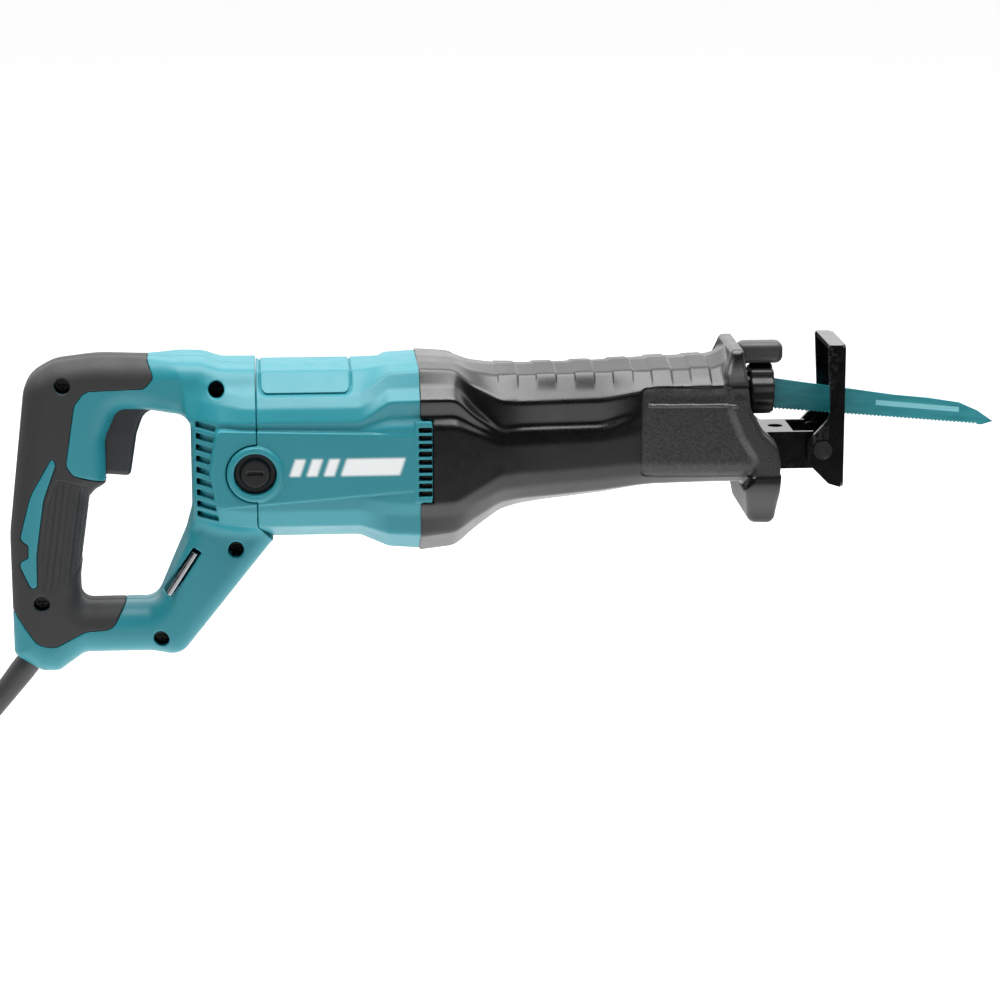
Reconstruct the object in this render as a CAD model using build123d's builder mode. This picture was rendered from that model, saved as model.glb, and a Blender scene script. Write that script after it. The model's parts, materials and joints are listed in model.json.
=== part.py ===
from build123d import *
import math
import os

# Corded reciprocating saw, in millimetres.
# Origin: the crank's axis crosses the plunger's axis. +X to the blade tip, +Y to the tool's left, +Z up.
os.makedirs("parts", exist_ok=True)

# ---- Driving dimensions ----
MOTOR_Z = -33.0  # height of the armature's axis
SEAM_X = -120.7  # joint between the handle halves and the motor housing
SEAM_GAP = 0.3
RUNNING = 0.05  # radial clearance of a running fit

# Handle
GRIP_HALF = 18.5
SHOULDER_HALF = 27.0
WALL = 4.0
SKIN = 1.8  # thickness of the soft grip over the shell
HANDLE_EDGE_R = 4.5
HANDLE_CORNERS = [  # x, z, corner radius
    (SEAM_X, 19.5, 0),
    (-146.0, 22.0, 20.0),
    (-241.0, 21.5, 26.0),
    (-253.3, -72.0, 60.0),
    (-253.3, -139.5, 5.0),
    (-238.5, -149.0, 5.0),
    (-229.0, -149.0, 4.0),
    (-215.0, -138.8, 8.0),
    (-163.5, -138.8, 14.0),
    (-112.6, -75.0, 0),
    (SEAM_X, -65.0, 0),
]
HAND_HOLE_CORNERS = [
    (-154.3, -6.0, 7.0),
    (-154.3, -64.0, 40.0),
    (-176.0, -111.5, 9.0),
    (-216.8, -111.5, 6.0),
    (-216.8, -98.0, 14.0),
    (-209.8, -50.0, 9.0),
    (-200.6, -45.0, 5.0),
    (-200.6, -20.0, 14.0),
    (-194.0, -5.2, 6.0),
]
GRIP_REGION = [
    (-180.0, 40.0),
    (-175.0, 13.0),
    (-180.0, 7.5),
    (-211.0, 6.5),
    (-217.0, -3.0),
    (-221.5, -34.0),
    (-219.7, -38.3),
    (-198.0, -44.5),
    (-190.0, -60.0),
    (-190.0, -108.7),
    (-193.6, -113.4),
    (-199.5, -123.9),
    (-214.0, -125.1),
    (-229.5, -132.0),
    (-238.3, -132.3),
    (-256.0, -112.0),
    (-275.0, -112.0),
    (-275.0, 40.0),
]
HANDLE_SCREWS = [  # x, z, depth of the screw's seat below the split plane
    (-222.9, 9.5, 9.0),
    (-237.1, -109.2, 9.0),
    (-173.4, -128.9, 9.0),
    (-141.4, 9.1, 14.0),
    (-132.5, -78.5, 14.0),
]
SCREW_HEAD_R = 3.8
SCREW_HEAD_H = 3.0
SCREW_WELL_R = 4.2
SCREW_R = 2.0
SCREW_LENGTH = 20.0
BOSS_R = 5.6

# Trigger, switch and lock button
TRIGGER_HALF = 8.4
TRIGGER_PIVOT = (-180.5, 4.0)
TRIGGER_PIVOT_R = 2.5
TRIGGER_CORNERS = [
    (-172.5, -3.0, 1.0),
    (-182.5, -5.5, 5.0),
    (-184.5, -24.0, 25.0),
    (-188.3, -41.8, 2.5),
    (-203.5, -40.5, 2.0),
    (-203.5, -8.0, 3.0),
    (-186.0, 8.0, 3.0),
    (-175.5, 8.0, 3.0),
]
LOCK_BUTTON = (-208.5, -1.0)
LOCK_BUTTON_R = 4.8

# Hex key clipped along the front edge of the lower arm
KEY_LENGTH = 27.0
KEY_ACROSS = 3.0
KEY_PLANE = Plane(origin=(-161.4, -23.6, -91.6), x_dir=(-0.544, 0, -0.839), z_dir=(0, -1, 0))

# Motor
CORE_START = -103.0
CORE_END = -58.0
CORE_R = 23.4
STATOR_R = 41.0
STATOR_BORE_R = 24.1
BRUSH_X = -121.5
BRUSH_BOSS_R = 15.0
COMMUTATOR_R = 17.0
SHAFT_R = 5.0
FAN_R = 37.0
SLEEVE_R = 34.0
SLEEVE_REAR_X = -148.0
BRUSH_CAP_Y = 43.0  # seat of the cap's head
BRUSH_CAP_R = 11.0
BRUSH_HOLDER_R = 8.0
BRUSH_WIDTH = 6.5
BRUSH_HEIGHT = 9.0
BRUSH_LENGTH = 14.0
COIL_OUTER_R = 33.8
COIL_INNER_R = 26.5
CORE_SLOTS = 12
COMMUTATOR_BARS = 24
FAN_START = -48.6
FAN_BLADES = 15
VENT_COUNT = 9
REAR_SLOT_X = -147.0
REAR_SLOT_PITCH = 6.1
REAR_SLOT_LENGTH = 10.0
REAR_SLOT_HEIGHT = 3.4
FRONT_SLOT_X = -32.0
FRONT_SLOT_PITCH = 4.3
FRONT_SLOT_LENGTH = 6.8
FRONT_SLOT_HEIGHT = 2.6
BARREL_WIDTH = 93.0
BARREL_HEIGHT = 95.5
BARREL_Z = -27.6
BARREL_CORNER_R = 34.0

FLARE_START_X = -58.0
FLARE_X = -45.0
MOTOR_FRONT_X = -37.6
TONGUE_X = -26.0
MOTOR_SCREWS = [(33.0, 0.0), (33.0, -65.0)]  # y, z of the screws through the crank housing's flange

# Ball bearings: bore radius, outer radius, width
REAR_BEARING = (4.0, 11.0, 7.0)
FRONT_BEARING = (5.0, 13.0, 8.0)
CRANK_BEARING = (7.5, 16.0, 9.0)
FOOT_BEARING = (4.0, 11.0, 7.0)
REAR_BEARING_X = -146.5
FRONT_BEARING_X = -37.6
CRANK_BEARING_Z = -43.0
FOOT_BEARING_Z = -54.5
BEARING_RING = 0.28  # each ring's share of the radial section
BALL_COUNT = 8

# Bevel gears and crank
PINION_TEETH = 9
CRANK_TEETH = 38
TOOTH_INNER_R = 20.0
TOOTH_OUTER_R = 28.0
TOOTH_MID_R = 24.0
MODULE = 2 * TOOTH_MID_R / CRANK_TEETH
GEAR_TOP_Z = -18.0
PINION_BORE_R = 3.0
CRANK_R = 14.0
ROLLER_R = 6.0
YOKE_BOTTOM_Z = -14.0
OPEN_PIVOT_GAP = 0.3
CRANK_SHAFT_R = 7.5
CRANK_PIN_R = 3.5

POT_R = 32.5  # gear case round the crank gear
POT_FLOOR_Z = -46.0
POT_TOP_Z = -2.0
COVER_PLATE = 3.0
TUNNEL_HALF = 11.5
TUNNEL_TOP_Z = 10.5
YOKE_SPACE_X = 27.5
CASE_WALL = 3.0
COVER_SCREWS_X = 9.0
COVER_SCREWS_Y = 31.0
COVER_LUG_R = 3.0
COVER_SCREW_SHANK_R = 1.5

# Plunger, blade clamp and blade
PLUNGER_R = 7.5
PLUNGER_BORE_R = 4.8
PLUNGER_BORE_LENGTH = 140.0
PLUNGER_REAR_X = -20.0
PLUNGER_FRONT_X = 142.0
BUSH_START = 92.0
BUSH_END = 112.0
BUSH_R = 10.5
SEAL_END = 118.0
YOKE_HALF_X = 12.0
YOKE_HALF_Y = 22.0
CLAMP_START = 134.0
CLAMP_END = 158.0
CLAMP_R = 9.8
CLAMP_SLEEVE_START = 145.8
CLAMP_SLEEVE_END = 158.7
CLAMP_SLEEVE_R = 12.2
BLADE_HALF = 0.6
BLADE_SLOT_HALF = 0.68
SHANK_START = 129.0
SHANK_HALF = 6.3
LEVER_RING_START = 131.0
LEVER_RING_END = 143.0
LEVER_RING_R = 17.0
LEVER_RING_INNER_R = 14.6
LEVER_TIP_R = 26.5
LEVER_TIP_X = 163.8
LEVER_HALF = 7.0
LOCK_PIN_X = 150.0
LOCK_PIN_R = 1.5

# Shoe and its slide plate
SLIDE_HALF = 17.0
SLIDE_TOP_Z = -20.8
SLIDE_BOTTOM_Z = -41.2
SLIDE_SHEET = 2.5
SLIDE_START = 62.0
SLIDE_TOP_END = 168.7
SHOE_PIVOT = (183.5, -30.0)
SHOE_FACE_X = 195.0
SHOE_HALF = 23.0
SHOE_SHEET = 2.5
PIVOT_PIN_R = 3.0
PIVOT_BUSH_R = 5.0
PIVOT_EAR_R = 8.0
SHOE_TOP_Z = 27.3
SHOE_FOOT_Z = -50.6
SHOE_FLANGE_X = 187.0
WINDOW_HALF = 5.5
WINDOW_TOP_Z = 14.0
WINDOW_FOOT_Z = -24.0
DETENT_PITCH = 6.0
SHOE_BUTTON = (103.0, -31.0)
SHOE_BUTTON_R = 7.0
BUTTON_STEM_R = 3.0
BUTTON_OUT_Y = 35.5
BUTTON_TRAVEL = 3.0

# Front boot: x, half width, top z, bottom z, corner radius
BOOT_WALL = 3.0
BOOT_SECTIONS = [
    (-37.4, 47.5, 19.0, -81.0, 20.0),
    (-14.0, 46.5, 16.0, -80.0, 20.0),
    (3.0, 39.0, 14.5, -64.5, 15.0),
    (16.0, 35.5, 15.0, -60.0, 14.0),
    (34.0, 30.5, 15.5, -56.0, 12.0),
    (70.0, 30.0, 16.5, -52.5, 12.0),
    (100.0, 33.0, 17.5, -48.0, 12.0),
    (140.0, 36.5, 18.5, -46.5, 12.0),
]
GUARD_CORNERS = [  # x, z, corner radius of the hand guard seen from the side
    (118.0, 0.0, 0),
    (127.0, 17.0, 3.0),
    (129.5, 28.0, 3.0),
    (137.0, 28.0, 2.0),
    (141.5, -2.0, 20.0),
    (149.0, -17.5, 6.0),
    (158.6, -25.5, 5.0),
    (159.2, -40.0, 20.0),
    (156.5, -67.5, 5.0),
    (144.0, -65.5, 6.0),
    (139.0, -48.0, 6.0),
    (118.0, -44.0, 0),
]
MOUTH_R = 19.7
HAND_GUARD_HALF = 31.0

# Cord
CORD_EXIT = (-245.3, 0.0, -144.6)
CORD_ANGLE = math.radians(52.0)  # below the horizontal, towards the rear
CORD_DIRECTION = (-math.cos(CORD_ANGLE), 0.0, -math.sin(CORD_ANGLE))
CORD_PLANE = Plane(origin=CORD_EXIT, x_dir=(0, 1, 0), z_dir=CORD_DIRECTION)
CORD_R = 4.0
CORD_SCREW_PITCH = 14.0
GUARD_R = 6.9
GUARD_TIP_R = 5.4
GUARD_LENGTH = 46.0
GUARD_INSIDE = 12.0
CORD_INSIDE = 22.0
CORD_OUTSIDE = 95.0
CLAMP_INSIDE = 17.0
CORE_PITCH = 3.2
CORE_END_R = 1.3

# Brush springs
BRUSH_SPRING_START = COMMUTATOR_R + 0.2 + BRUSH_LENGTH + 0.5
BRUSH_SPRING_LENGTH = BRUSH_CAP_Y - 6.0 - 0.6 - BRUSH_SPRING_START

# Bevel tooth form
PINION_RATIO = PINION_TEETH / CRANK_TEETH
GEAR_ADDENDUM = 0.62 * MODULE
PINION_ADDENDUM = 0.85 * MODULE
DEDENDUM = 1.15 * MODULE
TOOTH_HALF = 0.25 * math.pi * MODULE * 0.80  # half thickness at the pitch line, less backlash
FLANK_SLOPE = math.tan(math.radians(24.0))
ROLLER_TOP_Z = YOKE_BOTTOM_Z - OPEN_PIVOT_GAP

# Nose of the crank housing, inside the boot
NECK_HALF = 27.0
NOSE_HALF = 21.0
NOSE_START_X = 26.0
NOSE_END_X = 130.0
NOSE_TOP_Z = 11.5
NOSE_BOTTOM_Z = -42.4
COLLAR_OUTER_R = 19.5
CAVITY_END_X = NOSE_END_X + 0.2

# Blade teeth: x, z of the first and the last
BLADE_HEEL = (160.0, -11.6)
BLADE_TOE = (274.5, -22.0)
TOOTH_PITCH = 2.1
TOOTH_DEPTH = 1.0


def along_cord(distance):
    """Point on the cord's straight stretch; positive distances lie outside the handle."""
    return tuple(start + distance * step for start, step in zip(CORD_EXIT, CORD_DIRECTION))


def outline_face(corners, grow):
    """Face on the XZ plane inside a closed, rounded outline, grown by an amount."""
    points = [(x, z) for x, z, radius in corners]
    radii = [radius for x, z, radius in corners]
    with BuildSketch(Plane.XZ) as face:
        with BuildLine():
            FilletPolyline(*points, radius=radii, close=True)
        make_face()
        if grow:
            offset(amount=grow, kind=Kind.INTERSECTION)
    return face


def tube_x(start, end, outer, inner=0.0, height=0.0):
    """Tube along X; height is its axis's z."""
    with BuildPart() as tube:
        with BuildSketch(Plane.YZ.offset(start)):
            with Locations((0, height)):
                Circle(outer)
                if inner:
                    Circle(inner, mode=Mode.SUBTRACT)
        extrude(amount=end - start)
    return tube


def tube_y(start, end, outer, inner, x, z):
    """Tube along Y between two y values, about the line through x, z."""
    with BuildPart() as tube:
        with BuildSketch(Plane.XZ.offset(-start)):
            with Locations((x, z)):
                Circle(outer)
                if inner:
                    Circle(inner, mode=Mode.SUBTRACT)
        extrude(amount=-(end - start))
    return tube


def both_sides(piece):
    """The piece and its mirror image across the split plane, as separate solids."""
    with BuildPart() as pair:
        add(piece.part)
        mirror(piece.part, about=Plane.XZ)
    return pair


CLAMP_PLANE = Plane(origin=along_cord(-CLAMP_INSIDE), x_dir=CORD_DIRECTION, z_dir=(0, 1, 0))


# ---- Handle halves and soft grips ----
def handle_barrel(inset):
    """The rear end of the motor barrel, which the handle halves close round."""
    sections = [(-165.0, 56.0, 68.0, 24.0), (-142.0, 90.0, 92.5, 32.0)]
    sections.append((-110.0, BARREL_WIDTH, BARREL_HEIGHT, BARREL_CORNER_R))
    with BuildPart() as barrel:
        for x, width, height, radius in sections:
            with BuildSketch(Plane.YZ.offset(x)):
                with Locations((0, BARREL_Z)):
                    RectangleRounded(width - 2 * inset, height - 2 * inset, radius - inset)
        loft(ruled=True)
    return barrel


def handle_solid(inset):
    """Right half of the handle's outer form, shrunk by an inset."""
    barrel = handle_barrel(inset)
    outline = outline_face(HANDLE_CORNERS, -inset)
    hand_hole = outline_face(HAND_HOLE_CORNERS, inset)
    with BuildPart() as trimmed_barrel:
        add(barrel.part)
        extrude(outline.sketch, amount=60.0, mode=Mode.INTERSECT)
    with BuildPart() as solid:
        extrude(outline.sketch, amount=GRIP_HALF - inset)
        if inset < WALL:
            fillet(solid.faces().sort_by(Axis.Y)[0].edges(), HANDLE_EDGE_R - inset)
        with BuildSketch(Plane.XZ):
            add(outline.sketch)
            with Locations((-130.0, -60.0)):
                Rectangle(80.0, 200.0, mode=Mode.INTERSECT)
        extrude(amount=SHOULDER_HALF - inset)
        add(trimmed_barrel.part)
        extrude(hand_hole.sketch, amount=60.0, mode=Mode.SUBTRACT)
    return solid


handle_outer = handle_solid(0.0)
handle_under_grip = handle_solid(SKIN)
handle_cavity = handle_solid(WALL)

with BuildPart() as trigger_window:
    with BuildSketch(Plane.XZ):
        with Locations((-191.0, -17.8)):
            Rectangle(42.0, 53.6)
    extrude(amount=TRIGGER_HALF + 0.6)

with BuildPart() as grip_skin:
    add(handle_outer.part)
    add(handle_under_grip.part, mode=Mode.SUBTRACT)
    with BuildSketch(Plane.XZ):
        with BuildLine():
            Polyline(*GRIP_REGION, close=True)
        make_face()
    extrude(amount=60.0, mode=Mode.INTERSECT)


with BuildPart() as handle_base:
    add(handle_outer.part)
    add(handle_cavity.part, mode=Mode.SUBTRACT)
    with BuildSketch(Plane.XZ):
        for x, z, depth in HANDLE_SCREWS:
            with Locations((x, z)):
                Circle(BOSS_R)
    extrude(amount=SHOULDER_HALF - 1.0)
    add(handle_outer.part, mode=Mode.INTERSECT)
    add(grip_skin.part, mode=Mode.SUBTRACT)
    add(trigger_window.part, mode=Mode.SUBTRACT)
    # Opening round the brush boss, and the rear cooling slots
    with BuildSketch(Plane.XZ.offset(20.0)):
        with Locations((BRUSH_X, MOTOR_Z)):
            Circle(BRUSH_BOSS_R + 0.3)
        with Locations((REAR_SLOT_X, MOTOR_Z + 1.0)):
            with GridLocations(0, REAR_SLOT_PITCH, 1, VENT_COUNT):
                Rectangle(REAR_SLOT_LENGTH, REAR_SLOT_HEIGHT)
    extrude(amount=40.0, mode=Mode.SUBTRACT)
    # Opening round the motor housing's sleeve
    with BuildSketch(Plane.YZ.offset(SLEEVE_REAR_X - 0.5)):
        with Locations((0, MOTOR_Z)):
            Circle(SLEEVE_R + 0.3)
    extrude(amount=60.0, mode=Mode.SUBTRACT)
    # Trigger pivot and the clearance round the cord and its guard
    with BuildSketch(Plane.XZ):
        with Locations(TRIGGER_PIVOT):
            Circle(TRIGGER_PIVOT_R + RUNNING)
    extrude(amount=14.0, mode=Mode.SUBTRACT)
    with BuildSketch(CORD_PLANE.offset(-16.0)):
        Circle(GUARD_R + 0.1)
    extrude(amount=40.0, mode=Mode.SUBTRACT)

with BuildPart() as handle_half_right:
    add(handle_base.part)
    for x, z, depth in HANDLE_SCREWS:
        with BuildSketch(Plane.XZ.offset(depth)):
            with Locations((x, z)):
                Circle(SCREW_WELL_R)
        extrude(amount=40.0, mode=Mode.SUBTRACT)
        with BuildSketch(Plane.XZ):
            with Locations((x, z)):
                Circle(SCREW_R + 0.2)
        extrude(amount=depth, mode=Mode.SUBTRACT)
    # Recess for the hex key
    with BuildSketch(KEY_PLANE):
        Rectangle(KEY_LENGTH + 4.0, 5.0)
    extrude(amount=12.0, mode=Mode.SUBTRACT)
    # Seat under the cord clamp
    with BuildSketch(CLAMP_PLANE.offset(-CORD_R - 0.1)):
        Rectangle(6.0, 20.0)
        with GridLocations(0, CORD_SCREW_PITCH, 1, 2):
            Circle(1.55, mode=Mode.SUBTRACT)
    extrude(amount=-(GRIP_HALF - WALL - CORD_R))
handle_half_right.part.label = "handle_half_right"
export_step(handle_half_right.part, "parts/handle_half_right.step")

with BuildPart() as handle_half_left:
    mirror(handle_base.part, about=Plane.XZ)
    for x, z, depth in HANDLE_SCREWS:
        with BuildSketch(Plane.XZ):
            with Locations((x, z)):
                Circle(SCREW_R + RUNNING)
        extrude(amount=-(SCREW_LENGTH - depth + 1.0), mode=Mode.SUBTRACT)
    with BuildSketch(Plane.XZ):
        with Locations(LOCK_BUTTON):
            Circle(LOCK_BUTTON_R + RUNNING)
    extrude(amount=-40.0, mode=Mode.SUBTRACT)
handle_half_left.part.label = "handle_half_left"
export_step(handle_half_left.part, "parts/handle_half_left.step")

with BuildPart() as grip_right:
    add(grip_skin.part)
    add(trigger_window.part, mode=Mode.SUBTRACT)
    with BuildSketch(Plane.XZ):
        for x, z, depth in HANDLE_SCREWS:
            with Locations((x, z)):
                Circle(SCREW_WELL_R)
    extrude(amount=40.0, mode=Mode.SUBTRACT)
grip_right.part.label = "grip_right"
export_step(grip_right.part, "parts/grip_right.step")

with BuildPart() as grip_left:
    mirror(grip_skin.part, about=Plane.XZ)
    mirror(trigger_window.part, about=Plane.XZ, mode=Mode.SUBTRACT)
    with BuildSketch(Plane.XZ):
        with Locations(LOCK_BUTTON):
            Circle(LOCK_BUTTON_R + 0.6)
    extrude(amount=-40.0, mode=Mode.SUBTRACT)
grip_left.part.label = "grip_left"
export_step(grip_left.part, "parts/grip_left.step")

# ---- Handle fittings ----
with BuildPart() as handle_screws:
    for x, z, depth in HANDLE_SCREWS:
        with BuildSketch(Plane.XZ.offset(depth)):
            with Locations((x, z)):
                Circle(SCREW_HEAD_R)
        extrude(amount=SCREW_HEAD_H)
        with BuildSketch(Plane.XZ.offset(depth - SCREW_LENGTH)):
            with Locations((x, z)):
                Circle(SCREW_R)
        extrude(amount=SCREW_LENGTH)
        with BuildSketch(Plane.XZ.offset(depth + SCREW_HEAD_H)):
            with Locations((x, z)):
                Rectangle(4.6, 0.9)
                Rectangle(0.9, 4.6)
        extrude(amount=-1.6, mode=Mode.SUBTRACT)
handle_screws.part.label = "handle_screws"
export_step(handle_screws.part, "parts/handle_screws.step")

with BuildPart() as hex_key:
    with BuildSketch(Plane(origin=KEY_PLANE.offset(1.9).origin, z_dir=KEY_PLANE.x_dir)):
        RegularPolygon(KEY_ACROSS / 2, 6, major_radius=False)
    extrude(amount=KEY_LENGTH / 2, both=True)
hex_key.part.label = "hex_key"
export_step(hex_key.part, "parts/hex_key.step")

trigger_outline = outline_face(TRIGGER_CORNERS, 0.0)
with BuildPart() as trigger:
    extrude(trigger_outline.sketch, amount=TRIGGER_HALF, both=True)
    fillet(trigger.faces().filter_by(Axis.Y).edges(), 0.9)
    # Pivot stubs
    with BuildSketch(Plane.XZ.offset(-13.5)):
        with Locations(TRIGGER_PIVOT):
            Circle(TRIGGER_PIVOT_R)
    extrude(amount=27.0)
    # Hollow behind the finger face
    with BuildSketch(Plane.XZ.offset(-5.5)):
        with Locations((-199.0, -22.0)):
            Rectangle(16.0, 26.0)
    extrude(amount=11.0, mode=Mode.SUBTRACT)
trigger.part.label = "trigger"
export_step(trigger.part, "parts/trigger.step")

with BuildPart() as switch_body:
    with Locations((-224.0, 0, -19.0)):
        Box(20.0, 18.0, 36.0)
    with Locations((-213.5, 0, -14.0)):
        Box(3.0, 6.0, 8.0)
    with Locations((-224.0, 0, -38.5)):
        Box(14.0, 12.0, 4.0)
    with Locations((-213.0, 5.5, LOCK_BUTTON[1])):
        Box(2.0, 3.0, 3.0)
switch_body.part.label = "switch_body"
export_step(switch_body.part, "parts/switch_body.step")

with BuildPart() as lock_on_button:
    with BuildSketch(Plane.XZ.offset(-13.0)):
        with Locations(LOCK_BUTTON):
            Circle(LOCK_BUTTON_R)
    extrude(amount=-8.5)
    fillet(lock_on_button.edges().group_by(Axis.Y)[-1], 1.0)
    with BuildSketch(Plane.XZ.offset(-12.0)):
        with Locations(LOCK_BUTTON):
            Circle(2.0)
    extrude(amount=-1.0)
lock_on_button.part.label = "lock_on_button"
export_step(lock_on_button.part, "parts/lock_on_button.step")

with BuildPart() as noise_capacitor:
    with Locations((-203.0, 0, -126.0)):
        Box(20.0, 12.0, 12.0)
    with GridLocations(8.0, 0, 2, 1):
        with Locations((-203.0, 0, -119.0)):
            Cylinder(0.6, 3.0)
noise_capacitor.part.label = "noise_capacitor"
export_step(noise_capacitor.part, "parts/noise_capacitor.step")

with BuildPart() as supply_leads:
    for y in (-3.0, 3.0):
        with BuildLine() as route:
            Spline((-228.5, y, -121.0), (-226.5, y, -107.0), (-229.0, y, -70.0), (-224.0, y, -42.0))
        with BuildSketch(Plane(origin=route.line @ 0, z_dir=route.line % 0)):
            Circle(1.4)
        sweep(path=route.line)
supply_leads.part.label = "supply_leads"
export_step(supply_leads.part, "parts/supply_leads.step")

# ---- Cord ----
with BuildPart() as cord_guard:
    with BuildSketch(Plane(origin=CORD_EXIT, x_dir=CORD_DIRECTION, z_dir=(0, -1, 0))):
        with BuildLine():
            Polyline(
                (-GUARD_INSIDE, CORD_R),
                (-GUARD_INSIDE, GUARD_R),
                (8.0, GUARD_R),
                (GUARD_LENGTH, GUARD_TIP_R),
                (GUARD_LENGTH, CORD_R),
                close=True,
            )
        make_face()
    revolve(axis=Axis(CORD_EXIT, CORD_DIRECTION))
cord_guard.part.label = "cord_guard"
export_step(cord_guard.part, "parts/cord_guard.step")

with BuildPart() as power_cord:
    with BuildSketch(CORD_PLANE.offset(-CORD_INSIDE)):
        Circle(CORD_R)
    extrude(amount=CORD_INSIDE + CORD_OUTSIDE)
    # The bared core ends sit in this socket
    with BuildSketch(CORD_PLANE.offset(CORD_OUTSIDE)):
        with GridLocations(CORE_PITCH, 0, 2, 1):
            Circle(CORE_END_R)
    extrude(amount=-6.0, mode=Mode.SUBTRACT)
power_cord.part.label = "power_cord"
export_step(power_cord.part, "parts/power_cord.step")

with BuildPart() as cord_cores:
    with BuildSketch(CORD_PLANE.offset(CORD_OUTSIDE - 6.0)):
        with GridLocations(CORE_PITCH, 0, 2, 1):
            Circle(CORE_END_R)
    extrude(amount=14.0)
cord_cores.part.label = "cord_cores"
export_step(cord_cores.part, "parts/cord_cores.step")

with BuildPart() as cord_clamp:
    with BuildSketch(CLAMP_PLANE.offset(CORD_R + 0.05)):
        RectangleRounded(6.0, 20.0, 2.0)
    extrude(amount=3.0)
    with BuildSketch(CLAMP_PLANE.offset(CORD_R + 0.05)):
        with GridLocations(0, CORD_SCREW_PITCH, 1, 2):
            Circle(1.55)
    extrude(amount=3.0, mode=Mode.SUBTRACT)
cord_clamp.part.label = "cord_clamp"
export_step(cord_clamp.part, "parts/cord_clamp.step")

with BuildPart() as cord_clamp_screws:
    with BuildSketch(CLAMP_PLANE.offset(CORD_R - 8.0)):
        with GridLocations(0, CORD_SCREW_PITCH, 1, 2):
            Circle(1.5)
    extrude(amount=11.05)
    with BuildSketch(CLAMP_PLANE.offset(CORD_R + 3.05)):
        with GridLocations(0, CORD_SCREW_PITCH, 1, 2):
            Circle(3.0)
    extrude(amount=2.0)
cord_clamp_screws.part.label = "cord_clamp_screws"
export_step(cord_clamp_screws.part, "parts/cord_clamp_screws.step")

# ---- Motor housing ----
def barrel_section(x, grow):
    """Motor housing's rounded section on the plane at x, grown or shrunk by an amount."""
    with BuildSketch(Plane.YZ.offset(x)) as section:
        with Locations((0, BARREL_Z)):
            RectangleRounded(BARREL_WIDTH + 2 * grow, BARREL_HEIGHT + 2 * grow, BARREL_CORNER_R + grow)
    return section


barrel_rear = barrel_section(SEAM_X + SEAM_GAP, 0.0)
flare_rear = barrel_section(FLARE_START_X, 0.0)
flare_front = barrel_section(FLARE_X, 1.6)
brush_boss = tube_y(-BARREL_WIDTH / 2 - 0.6, -30.0, BRUSH_BOSS_R, 0, BRUSH_X, MOTOR_Z)
brush_bosses = both_sides(brush_boss)
handle_clearance = outline_face(HANDLE_CORNERS, SEAM_GAP)

with BuildPart() as motor_housing:
    extrude(barrel_rear.sketch, amount=FLARE_START_X - SEAM_X - SEAM_GAP)
    loft([flare_rear.sketch, flare_front.sketch], ruled=True)
    extrude(flare_front.sketch, amount=MOTOR_FRONT_X - FLARE_X)
    extrude(handle_clearance.sketch, amount=60.0, both=True, mode=Mode.SUBTRACT)
    # Side tongues with the front cooling slots
    with BuildSketch(Plane.YZ.offset(MOTOR_FRONT_X)):
        with Locations((0, MOTOR_Z + 5.0)):
            Rectangle(2 * 46.2, 44.0)
        with Locations((0, MOTOR_Z + 5.0)):
            Rectangle(2 * 43.8, 46.0, mode=Mode.SUBTRACT)
    extrude(amount=TONGUE_X - MOTOR_FRONT_X)
    # Rear sleeve, which the handle halves close round
    with BuildSketch(Plane.YZ.offset(SLEEVE_REAR_X)):
        with Locations((0, MOTOR_Z)):
            Circle(SLEEVE_R)
    extrude(amount=30.0)
    add(brush_bosses.part)
    # Bores for the stator, the commutator end and the rear bearing
    with BuildSketch(Plane.YZ.offset(CORE_START - 8.0)):
        with Locations((0, MOTOR_Z)):
            Circle(STATOR_R + 0.1)
    extrude(amount=90.0, mode=Mode.SUBTRACT)
    with BuildSketch(Plane.YZ.offset(REAR_BEARING_X + REAR_BEARING[2])):
        with Locations((0, MOTOR_Z)):
            Circle(SLEEVE_R - 3.0)
    extrude(amount=30.0, mode=Mode.SUBTRACT)
    with BuildSketch(Plane.YZ.offset(REAR_BEARING_X)):
        with Locations((0, MOTOR_Z)):
            Circle(REAR_BEARING[1])
    extrude(amount=20.0, mode=Mode.SUBTRACT)
    # Brush holder bores, with the caps' wider recesses
    for end in (-60.0, 60.0):
        with BuildSketch(Plane.XZ.offset(min(0.0, end))):
            with Locations((BRUSH_X, MOTOR_Z)):
                Circle(BRUSH_HOLDER_R + RUNNING)
        extrude(amount=60.0, mode=Mode.SUBTRACT)
    for side in (-1, 1):
        with BuildSketch(Plane.XZ.offset(side * BRUSH_CAP_Y)):
            with Locations((BRUSH_X, MOTOR_Z)):
                Circle(BRUSH_CAP_R + 0.2)
        extrude(amount=side * 12.0, mode=Mode.SUBTRACT)
    # Front cooling slots
    with BuildSketch(Plane.XZ.offset(-60.0)):
        with Locations((FRONT_SLOT_X, MOTOR_Z + 5.0)):
            with GridLocations(0, FRONT_SLOT_PITCH, 1, VENT_COUNT):
                Rectangle(FRONT_SLOT_LENGTH, FRONT_SLOT_HEIGHT)
    extrude(amount=120.0, mode=Mode.SUBTRACT)
    # Pilot holes for the screws through the crank housing
    with BuildSketch(Plane.YZ.offset(MOTOR_FRONT_X)):
        for y, z in MOTOR_SCREWS:
            with Locations((y, z), (-y, z)):
                Circle(SCREW_R + RUNNING)
    extrude(amount=-22.0, mode=Mode.SUBTRACT)
motor_housing.part.label = "motor_housing"
export_step(motor_housing.part, "parts/motor_housing.step")

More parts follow.
